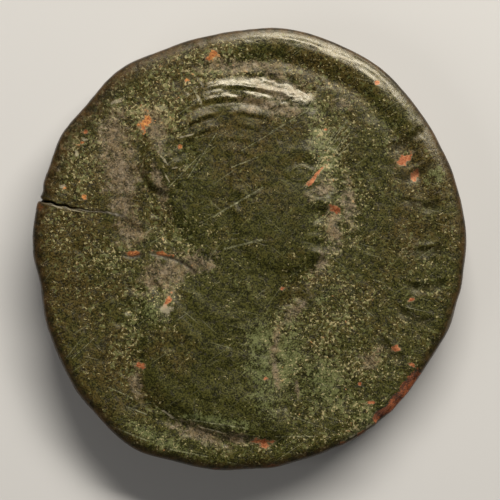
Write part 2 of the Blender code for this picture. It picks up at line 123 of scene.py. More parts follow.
def depth_inside(x, y, loop):
    """Distance to a closed outline, signed by counting crossings: positive inside."""
    closed = np.vstack([loop, loop[:1]])
    inside = np.zeros(x.shape, dtype=bool)
    for (start_x, start_y), (end_x, end_y) in zip(closed[:-1], closed[1:]):
        if start_y != end_y:
            spans = (start_y > y) != (end_y > y)
            share = (y - start_y) / (end_y - start_y)
            inside ^= spans & (x < start_x + share * (end_x - start_x))
    gap = np.abs(path_side(x, y, closed))
    return np.where(inside, gap, -gap)


def ridge(x, y, points, half_width):
    """Bell across a smooth line, so a rounded ridge of height one."""
    return bell(path_side(x, y, smooth_path(points)), half_width)


def oval_reach(x, y, middle, half_size, tilt=0.0):
    """Distance from an oval's middle in its own half sizes, so one on the oval."""
    turn = math.radians(tilt)
    along = (x - middle[0]) * math.cos(turn) + (y - middle[1]) * math.sin(turn)
    across = (y - middle[1]) * math.cos(turn) - (x - middle[0]) * math.sin(turn)
    return np.hypot(along / half_size[0], across / half_size[1])


def smooth_lower(first, second, sharpness):
    """Rounded lower of two heights: -log(exp(-k a) + exp(-k b)) / k."""
    return -np.log(np.exp(-sharpness * first) + np.exp(-sharpness * second)) / sharpness


def grain(x, y, pitch, seed):
    """Even random lumps about nought: seeded values on a square lattice of the pitch,
    blended between the four corners by the ease curve."""
    values = np.random.default_rng(seed).random((GRAIN_LATTICE + 1, GRAIN_LATTICE + 1)) - 0.5
    u, v = x / pitch + 0.5 * GRAIN_LATTICE, y / pitch + 0.5 * GRAIN_LATTICE
    i, j = np.floor(u).astype(int), np.floor(v).astype(int)
    s, t = ease(u - i, 0.0, 1.0), ease(v - j, 0.0, 1.0)
    i, j = i % GRAIN_LATTICE, j % GRAIN_LATTICE
    low = values[i, j] * (1.0 - s) + values[i + 1, j] * s
    high = values[i, j + 1] * (1.0 - s) + values[i + 1, j + 1] * s
    return 2.0 * (low * (1.0 - t) + high * t)


def rough_grain(x, y, pitch, seed, layers=3):
    """Lumps on lumps: each layer half the pitch and height of the last."""
    total = 0.0
    for layer in range(layers):
        total = total + 0.5**layer * grain(x, y, pitch * 0.5**layer, seed + layer)
    return total


# The rim, the chips and the cracks
# The rim stands proud at the upper right, where the flan met the collar of the die, with
# a groove inside it. Knocks since then have chipped the edge, and the hammer split the flan.

RIM_ANGLE = 66.0
RIM_SPREAD = 52.0
RIM_INSET = 1.50
RIM_HALF_WIDTH = 0.90
RIM_LOW = 0.07
RIM_HIGH = 0.03
RIM_FALL = 0.50
RIM_CREST = 1.45
RIM_CORNER = 0.44
RIM_CORNER_DROP = 0.24
STREAK_INSET = 0.80
STREAK_HALF_WIDTH = 0.70
STREAK_RISE = 0.026
GROOVE_INSET = 2.50
GROOVE_HALF_WIDTH = 0.60
GROOVE_DEPTH = 0.18
CHIP_ANGLE = 315.5
CHIP_SPREAD = 9.0
CHIP_WIDTH = 0.90
CHIP_DEPTH = 0.90
CHIP_UNEVENNESS = 0.12
CRACK_ANGLE = 166.5
CRACK_HALF_WIDTH = 0.058
CRACK_THINNING = 0.034
CRACK_DEPTH = 0.70
LIP_RISE = 0.13
LIP_REACH = 1.6
CRACK_LINE = [
    (-15.6, 3.92), (-14.95, 3.62), (-14.5, 3.34), (-13.9, 3.27), (-13.5, 3.08), (-12.9, 3.04),
    (-12.5, 2.87), (-11.9, 2.84), (-11.3, 2.68), (-10.4, 2.64), (-9.6, 2.52), (-8.6, 2.20),
]
SPLIT_LINES = [
    [(-7.0, -0.20), (-6.2, -0.45), (-5.4, -0.62), (-4.5, -1.05), (-3.8, -1.60)],
    [(-8.9, -0.38), (-8.2, -0.50), (-7.5, -0.30)],
]
SPLIT_DEPTH = 0.09
SPLIT_HALF_WIDTH = 0.10


def proud_share(x, y):
    """How proud the rim stands: a bell of the turn from its middle."""
    return bell(turn_from(np.degrees(np.arctan2(y, x)), RIM_ANGLE), RIM_SPREAD)


def nearness(inset, width, power=1.0):
    """Nearness to the edge: nought from the width inward, one at the edge, to a power."""
    return np.clip(1.0 - inset / width, 0.0, 1.0) ** power


def rim_relief(x, y, inset):
    """Rim: a low bell ridge with a groove inside it and long streaks of wear on its
    outer slope. Outside it the face falls away by a power of the nearness to the edge:
    1.8 where the rim is proud, with a steeper corner, and 2 elsewhere."""
    along = np.arctan2(y, x) * BASE_RADIUS
    proud = proud_share(x, y)
    worn = 1.0 + 0.25 * grain(along, 0.0 * along, 2.6, 71)
    height = (RIM_LOW + RIM_HIGH * proud) * worn * bell(inset - RIM_INSET, RIM_HALF_WIDTH)
    height = height - GROOVE_DEPTH * proud * bell(inset - GROOVE_INSET, GROOVE_HALF_WIDTH)
    streaks = rough_grain(along * 0.30, inset * 3.0, 0.9, 72, 2)
    streaks = streaks * bell(inset - STREAK_INSET, STREAK_HALF_WIDTH)
    fall = RIM_FALL * worn**0.5 * nearness(inset, RIM_CREST, 1.8)
    corner = RIM_CORNER_DROP * nearness(inset, RIM_CORNER, 1.5)
    shoulder = SHOULDER_DROP * nearness(inset, SHOULDER_WIDTH, 2.0)
    return height + proud * (STREAK_RISE * streaks - fall - corner) - (1.0 - proud) * shoulder


def chip_share(x, y, inset):
    """How much a spot is in the chip: full within the spread, none a bit past it, and
    uneven along both."""
    angle = np.degrees(np.arctan2(y, x)) + 1.5 * grain(x, y, 0.9, 81)
    turn = np.abs(turn_from(angle, CHIP_ANGLE))
    reach = 1.0 - ease(turn, 0.70 * CHIP_SPREAD, 1.10 * CHIP_SPREAD)
    return reach * nearness(inset + CHIP_UNEVENNESS * grain(x, y, 0.5, 82), CHIP_WIDTH)


def crack_relief(x, y):
    """Crack: a narrow slot that thins inward, with its lower lip raised above it."""
    side = path_side(x, y, smooth_path(CRACK_LINE))
    inward = ease(x, -15.4, -9.4)
    ends = 1.0 - ease(x, -9.6, -8.4)
    depth = CRACK_DEPTH * (1.0 - inward) ** 1.8 + 0.03
    slot = -depth * ends * bell(side - 0.06, CRACK_HALF_WIDTH - CRACK_THINNING * inward)
    lower = ease(-side, -0.16, 0.07) * np.exp(-np.clip(-side, 0.0, None) / LIP_REACH)
    lip = ends * (1.0 - 0.5 * inward) * (0.75 + 0.7 * grain(x, y, 0.8, 85))
    return slot + LIP_RISE * lip * lower - 0.04 * lip * bell(side - 0.35, 0.40)


def split_relief(x, y):
    """Fine splits in the struck face: narrow grooves with soft ends."""
    height = 0.0
    for points in SPLIT_LINES:
        path = smooth_path(points)
        middle = 0.5 * (path[0] + path[-1])
        half_length = 0.5 * np.hypot(*(path[-1] - path[0]))
        reach = np.hypot(x - middle[0], y - middle[1]) / half_length
        groove = bell(path_side(x, y, path), SPLIT_HALF_WIDTH)
        height = height - SPLIT_DEPTH * groove * (1.0 - ease(reach, 0.8, 1.15))
    return height


# The portrait
# A draped bust in low relief, facing right, its hair waved back in locks and wound into a
# knot behind. Long wear has pressed the high spots flat and left the hollows soft.

HAIRLINE = 9.6
BROW = 6.2
NOSE_BASE = 2.5
CHIN = -1.15
FACE_PLANE = 4.9
THROAT = [
    (4.0, -1.62), (3.0, -2.1), (2.35, -3.1), (1.95, -4.5), (1.75, -6.2), (1.85, -8.4),
    (2.15, -10.4), (2.75, -12.3),
]
BACK = [
    (2.5, -13.15), (1.4, -13.42), (-0.4, -13.32), (-2.6, -12.85), (-5.1, -11.75),
    (-6.9, -10.4), (-7.7, -8.5), (-8.1, -5.9), (-7.6, -4.0), (-6.2, -3.0), (-4.8, -2.1),
    (-4.15, -0.7), (-4.5, 0.9), (-5.8, 2.6), (-6.5, 5.0), (-6.4, 7.3), (-5.3, 9.5),
    (-3.4, 11.4), (-0.9, 12.2), (1.9, 11.75), (3.7, 11.0), (4.6, 10.4),
]
HAIR_EDGE = [
    (5.7, 10.3), (4.7, 9.3), (3.3, 8.3), (1.7, 7.2), (0.6, 6.0), (-0.1, 5.0), (-1.3, 4.4),
    (-2.1, 3.2), (-2.9, 1.7), (-3.7, 0.3), (-5.2, -0.6),
]
STEP_RISE = 0.32
BEVEL_RISE = 0.17
SWELL_RISE = 0.16
SWELL_REACH = 2.8
HEAD_MIDDLE = (1.4, 3.6)
HEAD_HALF_SIZE = (4.6, 5.6)
HEAD_RISE = 0.10
WORN_LEVEL = 0.70
WEAR_SHARPNESS = 14.0
CROWN_MIDDLE = (-0.9, 3.6)
CROWN_STRETCH = 1.25
LOCK_PITCH = 0.92
LOCK_PHASE = 0.10
LOCK_RISE = 0.24
STRAND_RISE = 0.016
KNOT_MIDDLE = (-5.75, 5.9)
KNOT_HALF_SIZE = (1.75, 1.95)
KNOT_TILT = 20.0
KNOT_RISE = 0.34
KNOT_SWELL = 0.14
COIL_MIDDLE = (-4.1, 4.9)
COIL_PITCH = 0.82
COIL_RISE = 0.08
JAW = [(-1.0, 2.0), (-0.8, 0.7), (0.1, -0.45), (1.5, -1.2), (3.0, -1.5), (4.5, -1.45)]
JAW_DROP = 0.12
EAR_MIDDLE = (-0.75, 3.35)
EAR_HALF_SIZE = (0.60, 0.98)
EAR_TILT = 12.0
EAR_RISE = 0.08
EAR_CUP = 0.05
HUMPS = [
    ((3.60, 5.30), (1.15, 0.72), -6.0, -0.12),
    ((3.45, 5.30), (0.70, 0.40), -4.0, 0.13),
    ((5.35, 2.98), (0.50, 0.42), 0.0, 0.10),
    ((2.70, 3.10), (1.60, 1.30), 20.0, 0.06),
    ((4.90, 1.62), (0.80, 0.36), 8.0, 0.04),
    ((4.80, 0.86), (0.65, 0.34), -5.0, 0.035),
    ((4.50, 0.28), (0.60, 0.24), 0.0, -0.045),
    ((4.50, -0.45), (0.75, 0.60), 0.0, 0.08),
]
STROKES = [
    ([(2.60, 5.25), (3.10, 5.72), (3.75, 5.82), (4.30, 5.50)], 0.16, 0.09),
    ([(2.70, 5.12), (3.40, 4.84), (4.15, 4.98)], 0.14, 0.05),
    ([(1.90, 6.35), (3.00, 6.90), (4.10, 6.80), (4.95, 6.45)], 0.34, 0.10),
    ([(4.72, 3.55), (4.60, 3.00), (4.78, 2.50), (5.20, 2.38)], 0.17, -0.06),
    ([(4.15, 1.22), (4.80, 1.27), (5.50, 1.20)], 0.16, -0.06),
    ([(-1.70, 0.40), (-0.40, -2.00), (0.90, -4.20)], 0.55, 0.05),
    ([(2.70, 10.68), (3.90, 10.84)], 0.13, 0.075),
    ([(2.95, 10.36), (3.80, 10.52)], 0.12, 0.070),
    ([(1.40, 9.98), (2.50, 10.14)], 0.13, 0.075),
]
NECKLINE = [(-4.9, -2.1), (-3.2, -3.3), (-0.8, -4.4), (2.4, -4.7)]
NECKLINE_RISE = 0.06
FOLDS = [
    ([(-4.6, -2.6), (-3.2, -4.1), (-1.2, -5.2), (1.4, -5.5)], 0.38, 0.085),
    ([(-5.6, -3.5), (-4.6, -5.6), (-2.2, -7.3), (1.2, -8.0)], 0.44, 0.075),
    ([(-6.4, -4.3), (-5.9, -7.2), (-3.8, -9.4), (-0.4, -10.6), (1.6, -10.7)], 0.46, 0.070),
    ([(-7.0, -5.6), (-6.8, -8.2), (-5.4, -10.3), (-3.4, -11.4)], 0.40, 0.060),
]


def face_front(y):
    """Profile of a plain face set out by thirds: a plane plus soft bells for brow,
    nose, lips and chin."""
    root, tip = BROW - 0.5, NOSE_BASE + 0.55
    fall = np.clip((root - y) / (root - tip), 0.0, 1.0)
    front = FACE_PLANE - 0.035 * np.clip(y - BROW - 0.8, 0.0, None) ** 2
    front = front + 0.30 * bell(y - BROW - 0.30, 1.3)
    front = front + 1.18 * fall * ease(y, NOSE_BASE - 0.15, tip + 0.12)
    front = front + 0.30 * ease(NOSE_BASE - y, -0.3, 0.4) * ease(y, CHIN - 0.2, CHIN + 1.2)
    front = front + 0.26 * bell(y - 1.62, 0.40) + 0.22 * bell(y - 0.86, 0.36)
    front = front - 0.12 * bell(y - 0.28, 0.36) + 0.26 * bell(y + 0.42, 0.60)
    return front - 0.75 * ease(CHIN - y, -0.6, 0.1)


def bust_outline():
    """Closed outline: the face from the top down, then throat, cut, back and crown."""
    heights = np.linspace(HAIRLINE + 0.3, CHIN - 0.1, 48)
    face = np.stack([face_front(heights), heights], axis=1)
    rest = smooth_path([face[-1]] + THROAT + BACK + [face[0]])
    return np.vstack([face[:-1], rest[:-1]])


def body_relief(x, y, depth, crown):
    """The bust's plain body: a step at its outline, gentler along the face and back, and
    at the crown a hollow bevel instead; then a swell inward and a wide one of the head."""
    inward = np.clip(depth / SWELL_REACH, 0.0, 1.0)
    aside = y - 0.9 * np.clip(x - 1.0, 0.0, None)
    gentle = 1.0 + 0.8 * (1.0 - ease(aside, 7.5, 10.5)) * (0.6 + 0.4 * ease(y, -12.2, -9.5))
    step = STEP_RISE * ease(depth, -0.35 * gentle, 0.60 * gentle)
    bevel = BEVEL_RISE * np.clip((depth + 0.10) / 0.80, 0.0, 1.0) ** 2
    height = step * (1.0 - crown) + bevel * crown + SWELL_RISE * inward * (2.0 - inward)
    reach = oval_reach(x, y, HEAD_MIDDLE, HEAD_HALF_SIZE)
    return height + HEAD_RISE * ease(depth, -0.05, 0.5) * np.clip(1.0 - reach**2, 0.0, 1.0)


def hair_relief(x, y, depth, crown):
    """Hair: waved rings about the crown's middle, a lock to each pitch with two finer
    strands on it, worn away downward and in patches."""
    above = -path_side(x, y, smooth_path(HAIR_EDGE))
    hair = ease(above, -0.15, 0.70) * ease(y, -1.2, 0.2) * ease(depth, 0.0, 0.45)
    out_x, out_y = (x - CROWN_MIDDLE[0]) / CROWN_STRETCH, y - CROWN_MIDDLE[1]
    way = np.arctan2(out_y, out_x)
    ring = np.hypot(out_x, out_y) + 0.10 * np.sin(6.0 * way + 0.7) + 0.16 * grain(x, y, 1.9, 5)
    share = (ring - LOCK_PHASE) / LOCK_PITCH % 1.0
    lock = ease(share, 0.0, 0.40) * (1.0 - np.clip((share - 0.30) / 0.70, 0.0, 1.0) ** 1.3)
    strand = np.cos(4.0 * np.pi * ring / LOCK_PITCH)
    kept = ease(y - 0.25 * x, 7.9, 10.5) * (1.0 - crown * ease(0.80 - depth, 0.0, 0.2))
    patches = np.clip(0.65 + 1.1 * grain(way * 5.0, ring * 0.8, 1.4, 6), 0.0, None)
    top = 0.9 * bell(oval_reach(x, y, (0.2, 10.9), (1.9, 0.5), -8.0), 1.0)
    kept = np.maximum((0.15 + 0.85 * kept) * patches, top)
    return hair * kept * (0.02 + LOCK_RISE * lock + STRAND_RISE * strand)


def knot_over(x, y, depth, height):
    """Knot: a rounded oval with coiled ridges, laid over the height with a soft hollow
    round it."""
    reach = oval_reach(x, y, KNOT_MIDDLE, KNOT_HALF_SIZE, KNOT_TILT)
    coil = np.hypot(x - COIL_MIDDLE[0], y - COIL_MIDDLE[1]) / COIL_PITCH
    coil = coil + 0.20 * grain(x, y, 1.3, 8)
    swirl = np.abs(np.cos(np.pi * coil)) * (0.75 + 0.6 * grain(x, y, 1.8, 9))
    knot = KNOT_RISE + KNOT_SWELL * np.clip(1.0 - reach**2, 0.0, 1.0) + COIL_RISE * swirl
    cover = ease(1.15 - reach, 0.0, 0.30)
    height = height * (1.0 - cover) + knot * cover
    return height - 0.06 * bell(reach - 1.16, 0.12) * ease(depth, -0.2, 0.4)


def face_relief(x, y, within):
    """Ear with its cup, then a plain face's rounded humps and ridges."""
    reach = oval_reach(x, y, EAR_MIDDLE, EAR_HALF_SIZE, EAR_TILT)
    height = EAR_RISE * bell(reach - 0.85, 0.34) - EAR_CUP * bell(reach, 0.45)
    for middle, half_size, tilt, rise in HUMPS:
        height = height + within * rise * bell(oval_reach(x, y, middle, half_size, tilt), 1.0)
    for points, half_width, rise in STROKES:
        height = height + 0.75 * within * rise * ridge(x, y, points, half_width)
    return height


def cloak_relief(x, y, depth):
    """Cloak: raised below the neckline, with a bell ridge along each fold and a crease
    on either side of it, and a crisper step low on the bust."""
    cloth = ease(depth, 0.05, 0.6) * ease(-y, 1.8, 3.0)
    collar = path_side(x, y, smooth_path(NECKLINE))
    height = cloth * NECKLINE_RISE * ease(-collar, -0.25, 0.40) * ease(x, -3.6, -1.2)
    for points, half_width, rise in FOLDS:
        gap = np.abs(path_side(x, y, smooth_path(points)))
        crease = bell(gap - 1.6 * half_width, 0.5 * half_width)
        height = height + 0.55 * cloth * rise * (bell(gap, half_width) - 0.4 * crease)
    return height + 0.05 * ease(depth, -0.12, 0.06) * ease(-y, 8.0, 10.5)


def bust_relief(x, y, depth):
    """Height of the bust above the field: its body less a drop under the jaw, then hair,
    knot, face and cloak, with the high spots worn to one level."""
    within = ease(depth, -0.05, 0.5)
    crown = ease(y, 9.4, 11.0) * bell(x + 0.6, 2.8)
    jaw = path_side(x, y, smooth_path(JAW))
    below = ease(-jaw, -0.15, 0.40) * ease(y, -4.6, -1.2) * ease(x, -2.2, -0.6)
    height = body_relief(x, y, depth, crown) - within * (JAW_DROP * below + 0.04 * bell(jaw, 0.25))
    height = knot_over(x, y, depth, height + hair_relief(x, y, depth, crown))
    height = height + face_relief(x, y, within) + cloak_relief(x, y, depth)
    worn = smooth_lower(height, WORN_LEVEL, WEAR_SHARPNESS)
    return worn - smooth_lower(0.0, WORN_LEVEL, WEAR_SHARPNESS)


# The border marks
# What wear has left of the border on the right is a row of short shallow strokes.

BORDER_MARKS = [
    [(10.2, 7.6), (11.4, 8.3)], [(11.0, 5.5), (12.2, 6.0)], [(11.6, 3.5), (12.7, 3.45)],
    [(11.3, 0.2), (12.9, 0.35)], [(11.7, -2.3), (12.9, -2.2)], [(11.0, -4.1), (12.3, -4.6)],
    [(9.6, -6.2), (10.5, -7.1)],
]
MARK_HALF_WIDTH = 0.17
MARK_RISE = 0.070


def mark_relief(x, y):
    """Marks: a bell ridge along each stroke and a wide hollow on one side of it, broken
    up by lumps."""
    marks = 0.0
    for points in BORDER_MARKS:
        side = path_side(x, y, smooth_path(points))
        hollow = bell(side + 2.6 * MARK_HALF_WIDTH, 2.2 * MARK_HALF_WIDTH)
        marks = marks + bell(side, MARK_HALF_WIDTH) - 0.9 * hollow
    return MARK_RISE * marks * np.clip(0.75 + 1.1 * grain(x, y, 0.9, 21), 0.0, None)


# The patina and the damage, as places on the face
# Buried for centuries, the flan has a dark olive skin. It has flaked to matt grey patches
# beside the relief, and broken down to bare coppery metal in small spots.

MATT_PATCHES = [
    ((-9.6, 8.0), (0.9, 1.7), -14.0), ((-9.1, 5.6), (1.1, 2.0), 10.0), ((-8.9, 3.4), (0.7, 1.2)),
    ((-6.5, 8.4), (0.6, 1.3), 12.0), ((-8.4, 1.3), (0.9, 0.8), -30.0), ((-6.3, 4.6), (0.35, 1.5), 18.0),
    ((-5.9, -1.6), (1.6, 0.9), 18.0), ((-3.6, -0.9), (1.4, 0.65), 16.0), ((-7.9, -9.3), (0.4, 0.8), 8.0),
    ((-3.5, -12.85), (1.9, 0.50), -20.0), ((-1.0, -13.25), (1.5, 0.34), -6.0),
    ((5.0, -0.9), (0.4, 0.8), -20.0), ((5.9, 1.5), (0.5, 1.4), 8.0), ((6.9, 3.4), (0.5, 1.5), 6.0),
    ((5.1, 4.2), (0.9, 0.5), 20.0), ((3.4, -4.1), (1.2, 0.34), 38.0), ((1.8, -6.6), (0.22, 1.1), -12.0),
    ((1.8, -8.6), (0.2, 1.2), 10.0), ((3.3, -9.6), (0.16, 0.6), 6.0), ((8.4, -7.8), (0.45, 0.5)),
    ((9.0, -7.1), (0.4, 0.15), 40.0), ((2.5, 11.0), (2.0, 0.8), -24.0), ((-0.9, 12.85), (2.9, 0.42)),
    ((1.5, 12.4), (0.9, 0.35), -15.0), ((1.3, 10.0), (1.9, 0.5), -6.0), ((1.9, 11.3), (1.2, 0.8), -20.0),
    ((6.4, 10.2), (0.5, 0.4)),
]
COPPER_SPOTS = [
    ((-2.67, 13.6), (0.36, 0.33)), ((-7.3, 9.0), (0.34, 0.62), -22.0), ((-4.4, 11.9), (0.16, 0.12)),
    ((-4.9, 7.2), (0.13, 0.13)), ((8.9, 11.7), (0.15, 0.13)), ((10.8, 6.3), (0.62, 0.28), 38.0),
    ((11.6, 5.2), (0.24, 0.42), -20.0), ((5.3, 8.4), (0.12, 0.1)), ((4.68, 5.30), (0.95, 0.08), 47.0),
    ((4.42, 4.82), (0.50, 0.08), 49.0), ((5.9, 2.85), (0.34, 0.22), -30.0), ((2.3, -2.7), (0.18, 0.14)),
    ((11.3, -3.5), (0.26, 0.16)), ((10.2, -6.9), (0.26, 0.2), 20.0), ((11.4, -8.1), (0.28, 0.14), -30.0),
    ((8.4, -10.7), (0.34, 0.12), 10.0), ((0.95, -13.42), (0.66, 0.16), -3.0),
    ((1.08, -13.64), (0.34, 0.26)), ((1.1, -9.0), (0.18, 0.14)), ((-7.7, -8.1), (0.34, 0.30)),
    ((-5.7, -3.5), (0.16, 0.52), -28.0), ((-6.1, -0.30), (0.80, 0.14), -12.0),
    ((-8.2, -0.30), (0.65, 0.15), -4.0), ((-14.3, -4.9), (0.14, 0.12)), ((-11.5, 8.3), (0.18, 0.14)),
    ((-12.95, 4.35), (0.12, 0.10)), ((-11.6, 3.7), (0.14, 0.14)), ((-11.7, 7.5), (0.14, 0.10)),
    ((-14.7, 3.0), (0.2, 0.3)), ((7.9, -12.9), (0.42, 0.18), 35.0), ((6.6, -13.6), (0.4, 0.16), 25.0),
    ((1.7, -15.2), (0.5, 0.14), 4.0), ((-4.0, -15.3), (0.2, 0.1)), ((-2.3, -15.4), (0.3, 0.1)),
    ((7.7, -9.4), (0.12, 0.12)), ((-14.7, 3.0), (0.22, 0.16)),
]
# Pale crusts; the thin lines along the crack's lower lip, the lock's end at (-3.6, 10.7) and the spot
# behind the neck at (-5.8, -4.2) are painted highlights.
PALE_CRUSTS_AND_HIGHLIGHTS = [
    ((-5.8, -4.2), (0.42, 0.38)), ((-3.6, 10.7), (0.7, 0.07), -62.0), ((-4.6, 7.9), (0.6, 0.08), 14.0),
    ((-5.9, -11.4), (0.95, 0.08), -34.0), ((-2.3, -12.7), (1.7, 0.05), -13.0),
    ((-13.9, 3.12), (1.0, 0.06), -14.0), ((-12.3, 2.76), (0.9, 0.04), -12.0),
    ((14.05, -5.0), (0.12, 0.90), -19.0), ((-13.1, 4.45), (0.24, 0.12), 20.0),
    ((8.3, -12.4), (0.30, 0.12), 35.0), ((7.2, -13.1), (0.36, 0.10), 30.0),
    ((6.2, -13.9), (0.30, 0.10), 25.0), ((-11.6, 7.7), (0.26, 0.12)), ((-12.1, 6.7), (0.14, 0.20)),
    ((-1.2, 3.6), (0.10, 0.08)), ((-13.4, 5.6), (0.14, 0.14)), ((-10.8, 11.2), (0.14, 0.60), -12.0),
    ((-9.3, 10.4), (0.4, 0.14), 20.0), ((-5.95, 6.25), (0.55, 0.06), -50.0),
    ((-4.95, 5.8), (0.40, 0.06), 15.0), ((-5.75, 5.0), (0.45, 0.06), -65.0),
]
VERDIGRIS_PATCHES = [
    ((0.9, -8.0), (0.9, 2.7), 6.0), ((2.7, -7.6), (1.0, 2.6), -6.0), ((5.0, -9.2), (1.5, 1.8), 20.0),
    ((5.3, 6.8), (0.6, 1.7), 24.0), ((4.4, 9.9), (0.7, 0.6)), ((-6.9, -4.2), (0.8, 0.7)),
    ((5.2, -3.3), (1.2, 0.3), 32.0), ((-2.5, -11.9), (3.2, 0.3), -8.0),
    ((-6.4, -13.2), (2.6, 0.35), -26.0), ((8.4, -11.9), (1.0, 0.4), 38.0), ((13.0, 5.3), (0.5, 0.5)),
    ((7.5, -12.9), (1.5, 0.30), 36.0),
]
# Places where the specks crowd; a negative strength thins them, and the thinning under the chin at (3.4,
# -3.2) is painted shade in the hollow there.
SPECKLED_AND_SHADED_PLACES = [
    ((-12.6, 6.4), (2.4, 4.6), 1.2), ((-9.2, 10.8), (3.2, 2.6), 1.3), ((-3.5, 13.4), (5.0, 1.3), 1.2),
    ((-9.7, -0.7), (2.5, 1.6), 1.2), ((-6.4, -4.2), (1.5, 1.5), 1.2), ((-8.3, -6.5), (0.8, 3.2), 0.7),
    ((7.1, 3.2), (0.8, 2.0), 1.0), ((-3.4, -0.9), (2.2, 1.2), 0.8), ((-2.2, 12.5), (2.6, 0.7), 0.6),
    ((-5.0, 7.6), (2.0, 3.2), 0.8), ((-4.0, 1.4), (2.2, 1.6), 0.6), ((5.4, 4.8), (1.6, 6.0), 0.8),
    ((8.0, 9.0), (3.5, 3.0), 0.4), ((5.6, -4.4), (3.6, 2.6), 0.9), ((7.2, -9.2), (3.6, 3.4), 0.9),
    ((12.0, -1.4), (1.6, 4.4), 0.5), ((-2.0, -13.6), (5.6, 0.9), 0.6),
    ((-10.6, -8.4), (2.6, 2.0), -0.5), ((3.4, -3.2), (1.6, 0.9), -1.6), ((8.2, -12.0), (1.0, 0.9), 1.2),
    ((6.6, -13.3), (1.0, 0.7), 1.2),
]
PIT_DEPTH = 0.05
PIT_DEPTH_BESIDE = 0.10
FLAKE_DEPTH = 0.035
BARE_DEPTH = 0.03


def spot_field(x, y, spots):
    """Nearness to the nearest oval, each a middle, half sizes and a tilt if it has one:
    one at its middle, nought on its edge, below nought outside it."""
    field = np.full(x.shape, -3.0)
    for oval in spots:
        field = np.maximum(field, 1.0 - oval_reach(x, y, *oval))
    return field


def crowding(x, y, places):
    """How crowded the specks are: the sum of a bell for each place."""
    total = np.zeros(x.shape)
    for middle, half_size, strength in places:
        total = total + strength * bell(oval_reach(x, y, middle, half_size), 1.0)
    return np.minimum(total, 1.3)


def wear_relief(x, y, inset, depth):
    """Pits, deeper beside the bust and few on the proud rim, a fine grain, and patches
    and bare spots sunk below the skin."""
    smooth = proud_share(x, y) * bell(inset - 1.0, 1.0)
    pitting = np.clip(rough_grain(x, y, 0.85, 41) - 0.15, 0.0, None) * (1.0 - 0.8 * smooth)
    height = -(PIT_DEPTH + PIT_DEPTH_BESIDE * bell(depth + 0.7, 1.0)) * pitting
    matt = ease(spot_field(x, y, MATT_PATCHES) + 0.5 * rough_grain(x, y, 1.0, 31), -0.15, 0.25)
    height = height - FLAKE_DEPTH * matt * (1.0 + rough_grain(x, y, 0.5, 61))
    bare = ease(spot_field(x, y, COPPER_SPOTS), -0.15, 0.15)
    return height - BARE_DEPTH * bare + 0.012 * rough_grain(x, y, 0.6, 51)


def obverse_height(x, y, inset):
    """Portrait side: level, two long waves, rim, bust, marks, wear, chip and cracks."""
    depth = depth_inside(x, y, bust_outline())
    height = OBVERSE_LEVEL + rim_relief(x, y, inset) + bust_relief(x, y, depth)
    height = height + 0.05 * np.sin(0.55 * x + 1.3) * np.cos(0.48 * y - 0.6)
    height = height + 0.03 * np.sin(0.9 * x - 0.7 * y)
    height = height + mark_relief(x, y) + wear_relief(x, y, inset, depth)
    chip = chip_share(x, y, inset) * (1.0 + CHIP_UNEVENNESS * rough_grain(x, y, 0.5, 83))
    return height - CHIP_DEPTH * chip + crack_relief(x, y) + split_relief(x, y)


# The reverse
# A plain draped figure standing between worn strokes. It has been rubbed down on the
# tables it slid over, so its high spots and the rim are flats on one level.

REVERSE_RIM_RISE = 0.34
REVERSE_RIM_INSET = 1.35
REVERSE_RIM_HALF_WIDTH = 0.70
FIGURE_RISE = 0.42
FIGURE_HUMPS = [
    ((0.0, 8.0), (0.95, 1.30), 0.0), ((0.0, 4.6), (2.10, 2.10), 0.0), ((0.1, 0.4), (2.00, 4.20), 0.0),
    ((0.3, -4.6), (2.50, 4.00), 0.0), ((-5.6, 3.9), (0.85, 0.60), 20.0),
]
FIGURE_STROKES = [
    ([(-1.6, 5.4), (-3.3, 3.4), (-5.3, 3.7)], 0.50), ([(1.7, 5.4), (3.3, 3.4), (4.0, 1.2)], 0.50),
    ([(4.1, 8.0), (4.3, -8.6)], 0.28), ([(-7.2, -9.3), (7.2, -9.3)], 0.30),
]
GARMENT_FOLDS = [
    [(-1.0, 5.2), (-1.3, 1.0), (-1.5, -7.8)], [(0.9, 3.4), (1.2, -2.0), (1.6, -7.8)],
    [(1.4, 5.0), (-0.4, 2.6), (-1.6, 1.6)], [(0.0, -1.0), (0.2, -8.2)],
]
GARMENT_FOLD_HALF_WIDTH = 0.24
REVERSE_MARK_START = 11.25
REVERSE_MARK_END = 12.55
REVERSE_MARK_ANGLES = [-38.0, -24.0, -10.0, 6.0, 22.0, 142.0, 158.0, 176.0, 194.0, 212.0]


def reverse_height(x, y, inset):
    """Reverse: sunken field less the figure, rim and marks, cut off flat at nought."""
    rise = REVERSE_RIM_RISE * bell(inset - REVERSE_RIM_INSET, REVERSE_RIM_HALF_WIDTH)
    for middle, half_size, tilt in FIGURE_HUMPS:
        rise = np.maximum(rise, FIGURE_RISE * bell(oval_reach(x, y, middle, half_size, tilt), 1.0))
    for points, half_width in FIGURE_STROKES:
        rise = np.maximum(rise, FIGURE_RISE * ridge(x, y, points, half_width))
    for points in GARMENT_FOLDS:
        rise = rise - 0.45 * FIGURE_RISE * ridge(x, y, points, GARMENT_FOLD_HALF_WIDTH)
    for angle in np.radians(REVERSE_MARK_ANGLES):
        outward = np.array([math.cos(angle), math.sin(angle)])
        stroke = [REVERSE_MARK_START * outward, REVERSE_MARK_END * outward]
        rise = np.maximum(rise, 0.7 * REVERSE_LEVEL * ridge(x, y, stroke, MARK_HALF_WIDTH))
    rise = rise - 0.05 * rough_grain(x, y, 0.9, 91) * (1.0 - ease(rise, 0.2, 0.3))
    shoulder = SHOULDER_DROP * nearness(inset, SHOULDER_WIDTH, 2.0)
    return np.maximum(REVERSE_LEVEL - rise + shoulder, 0.0)


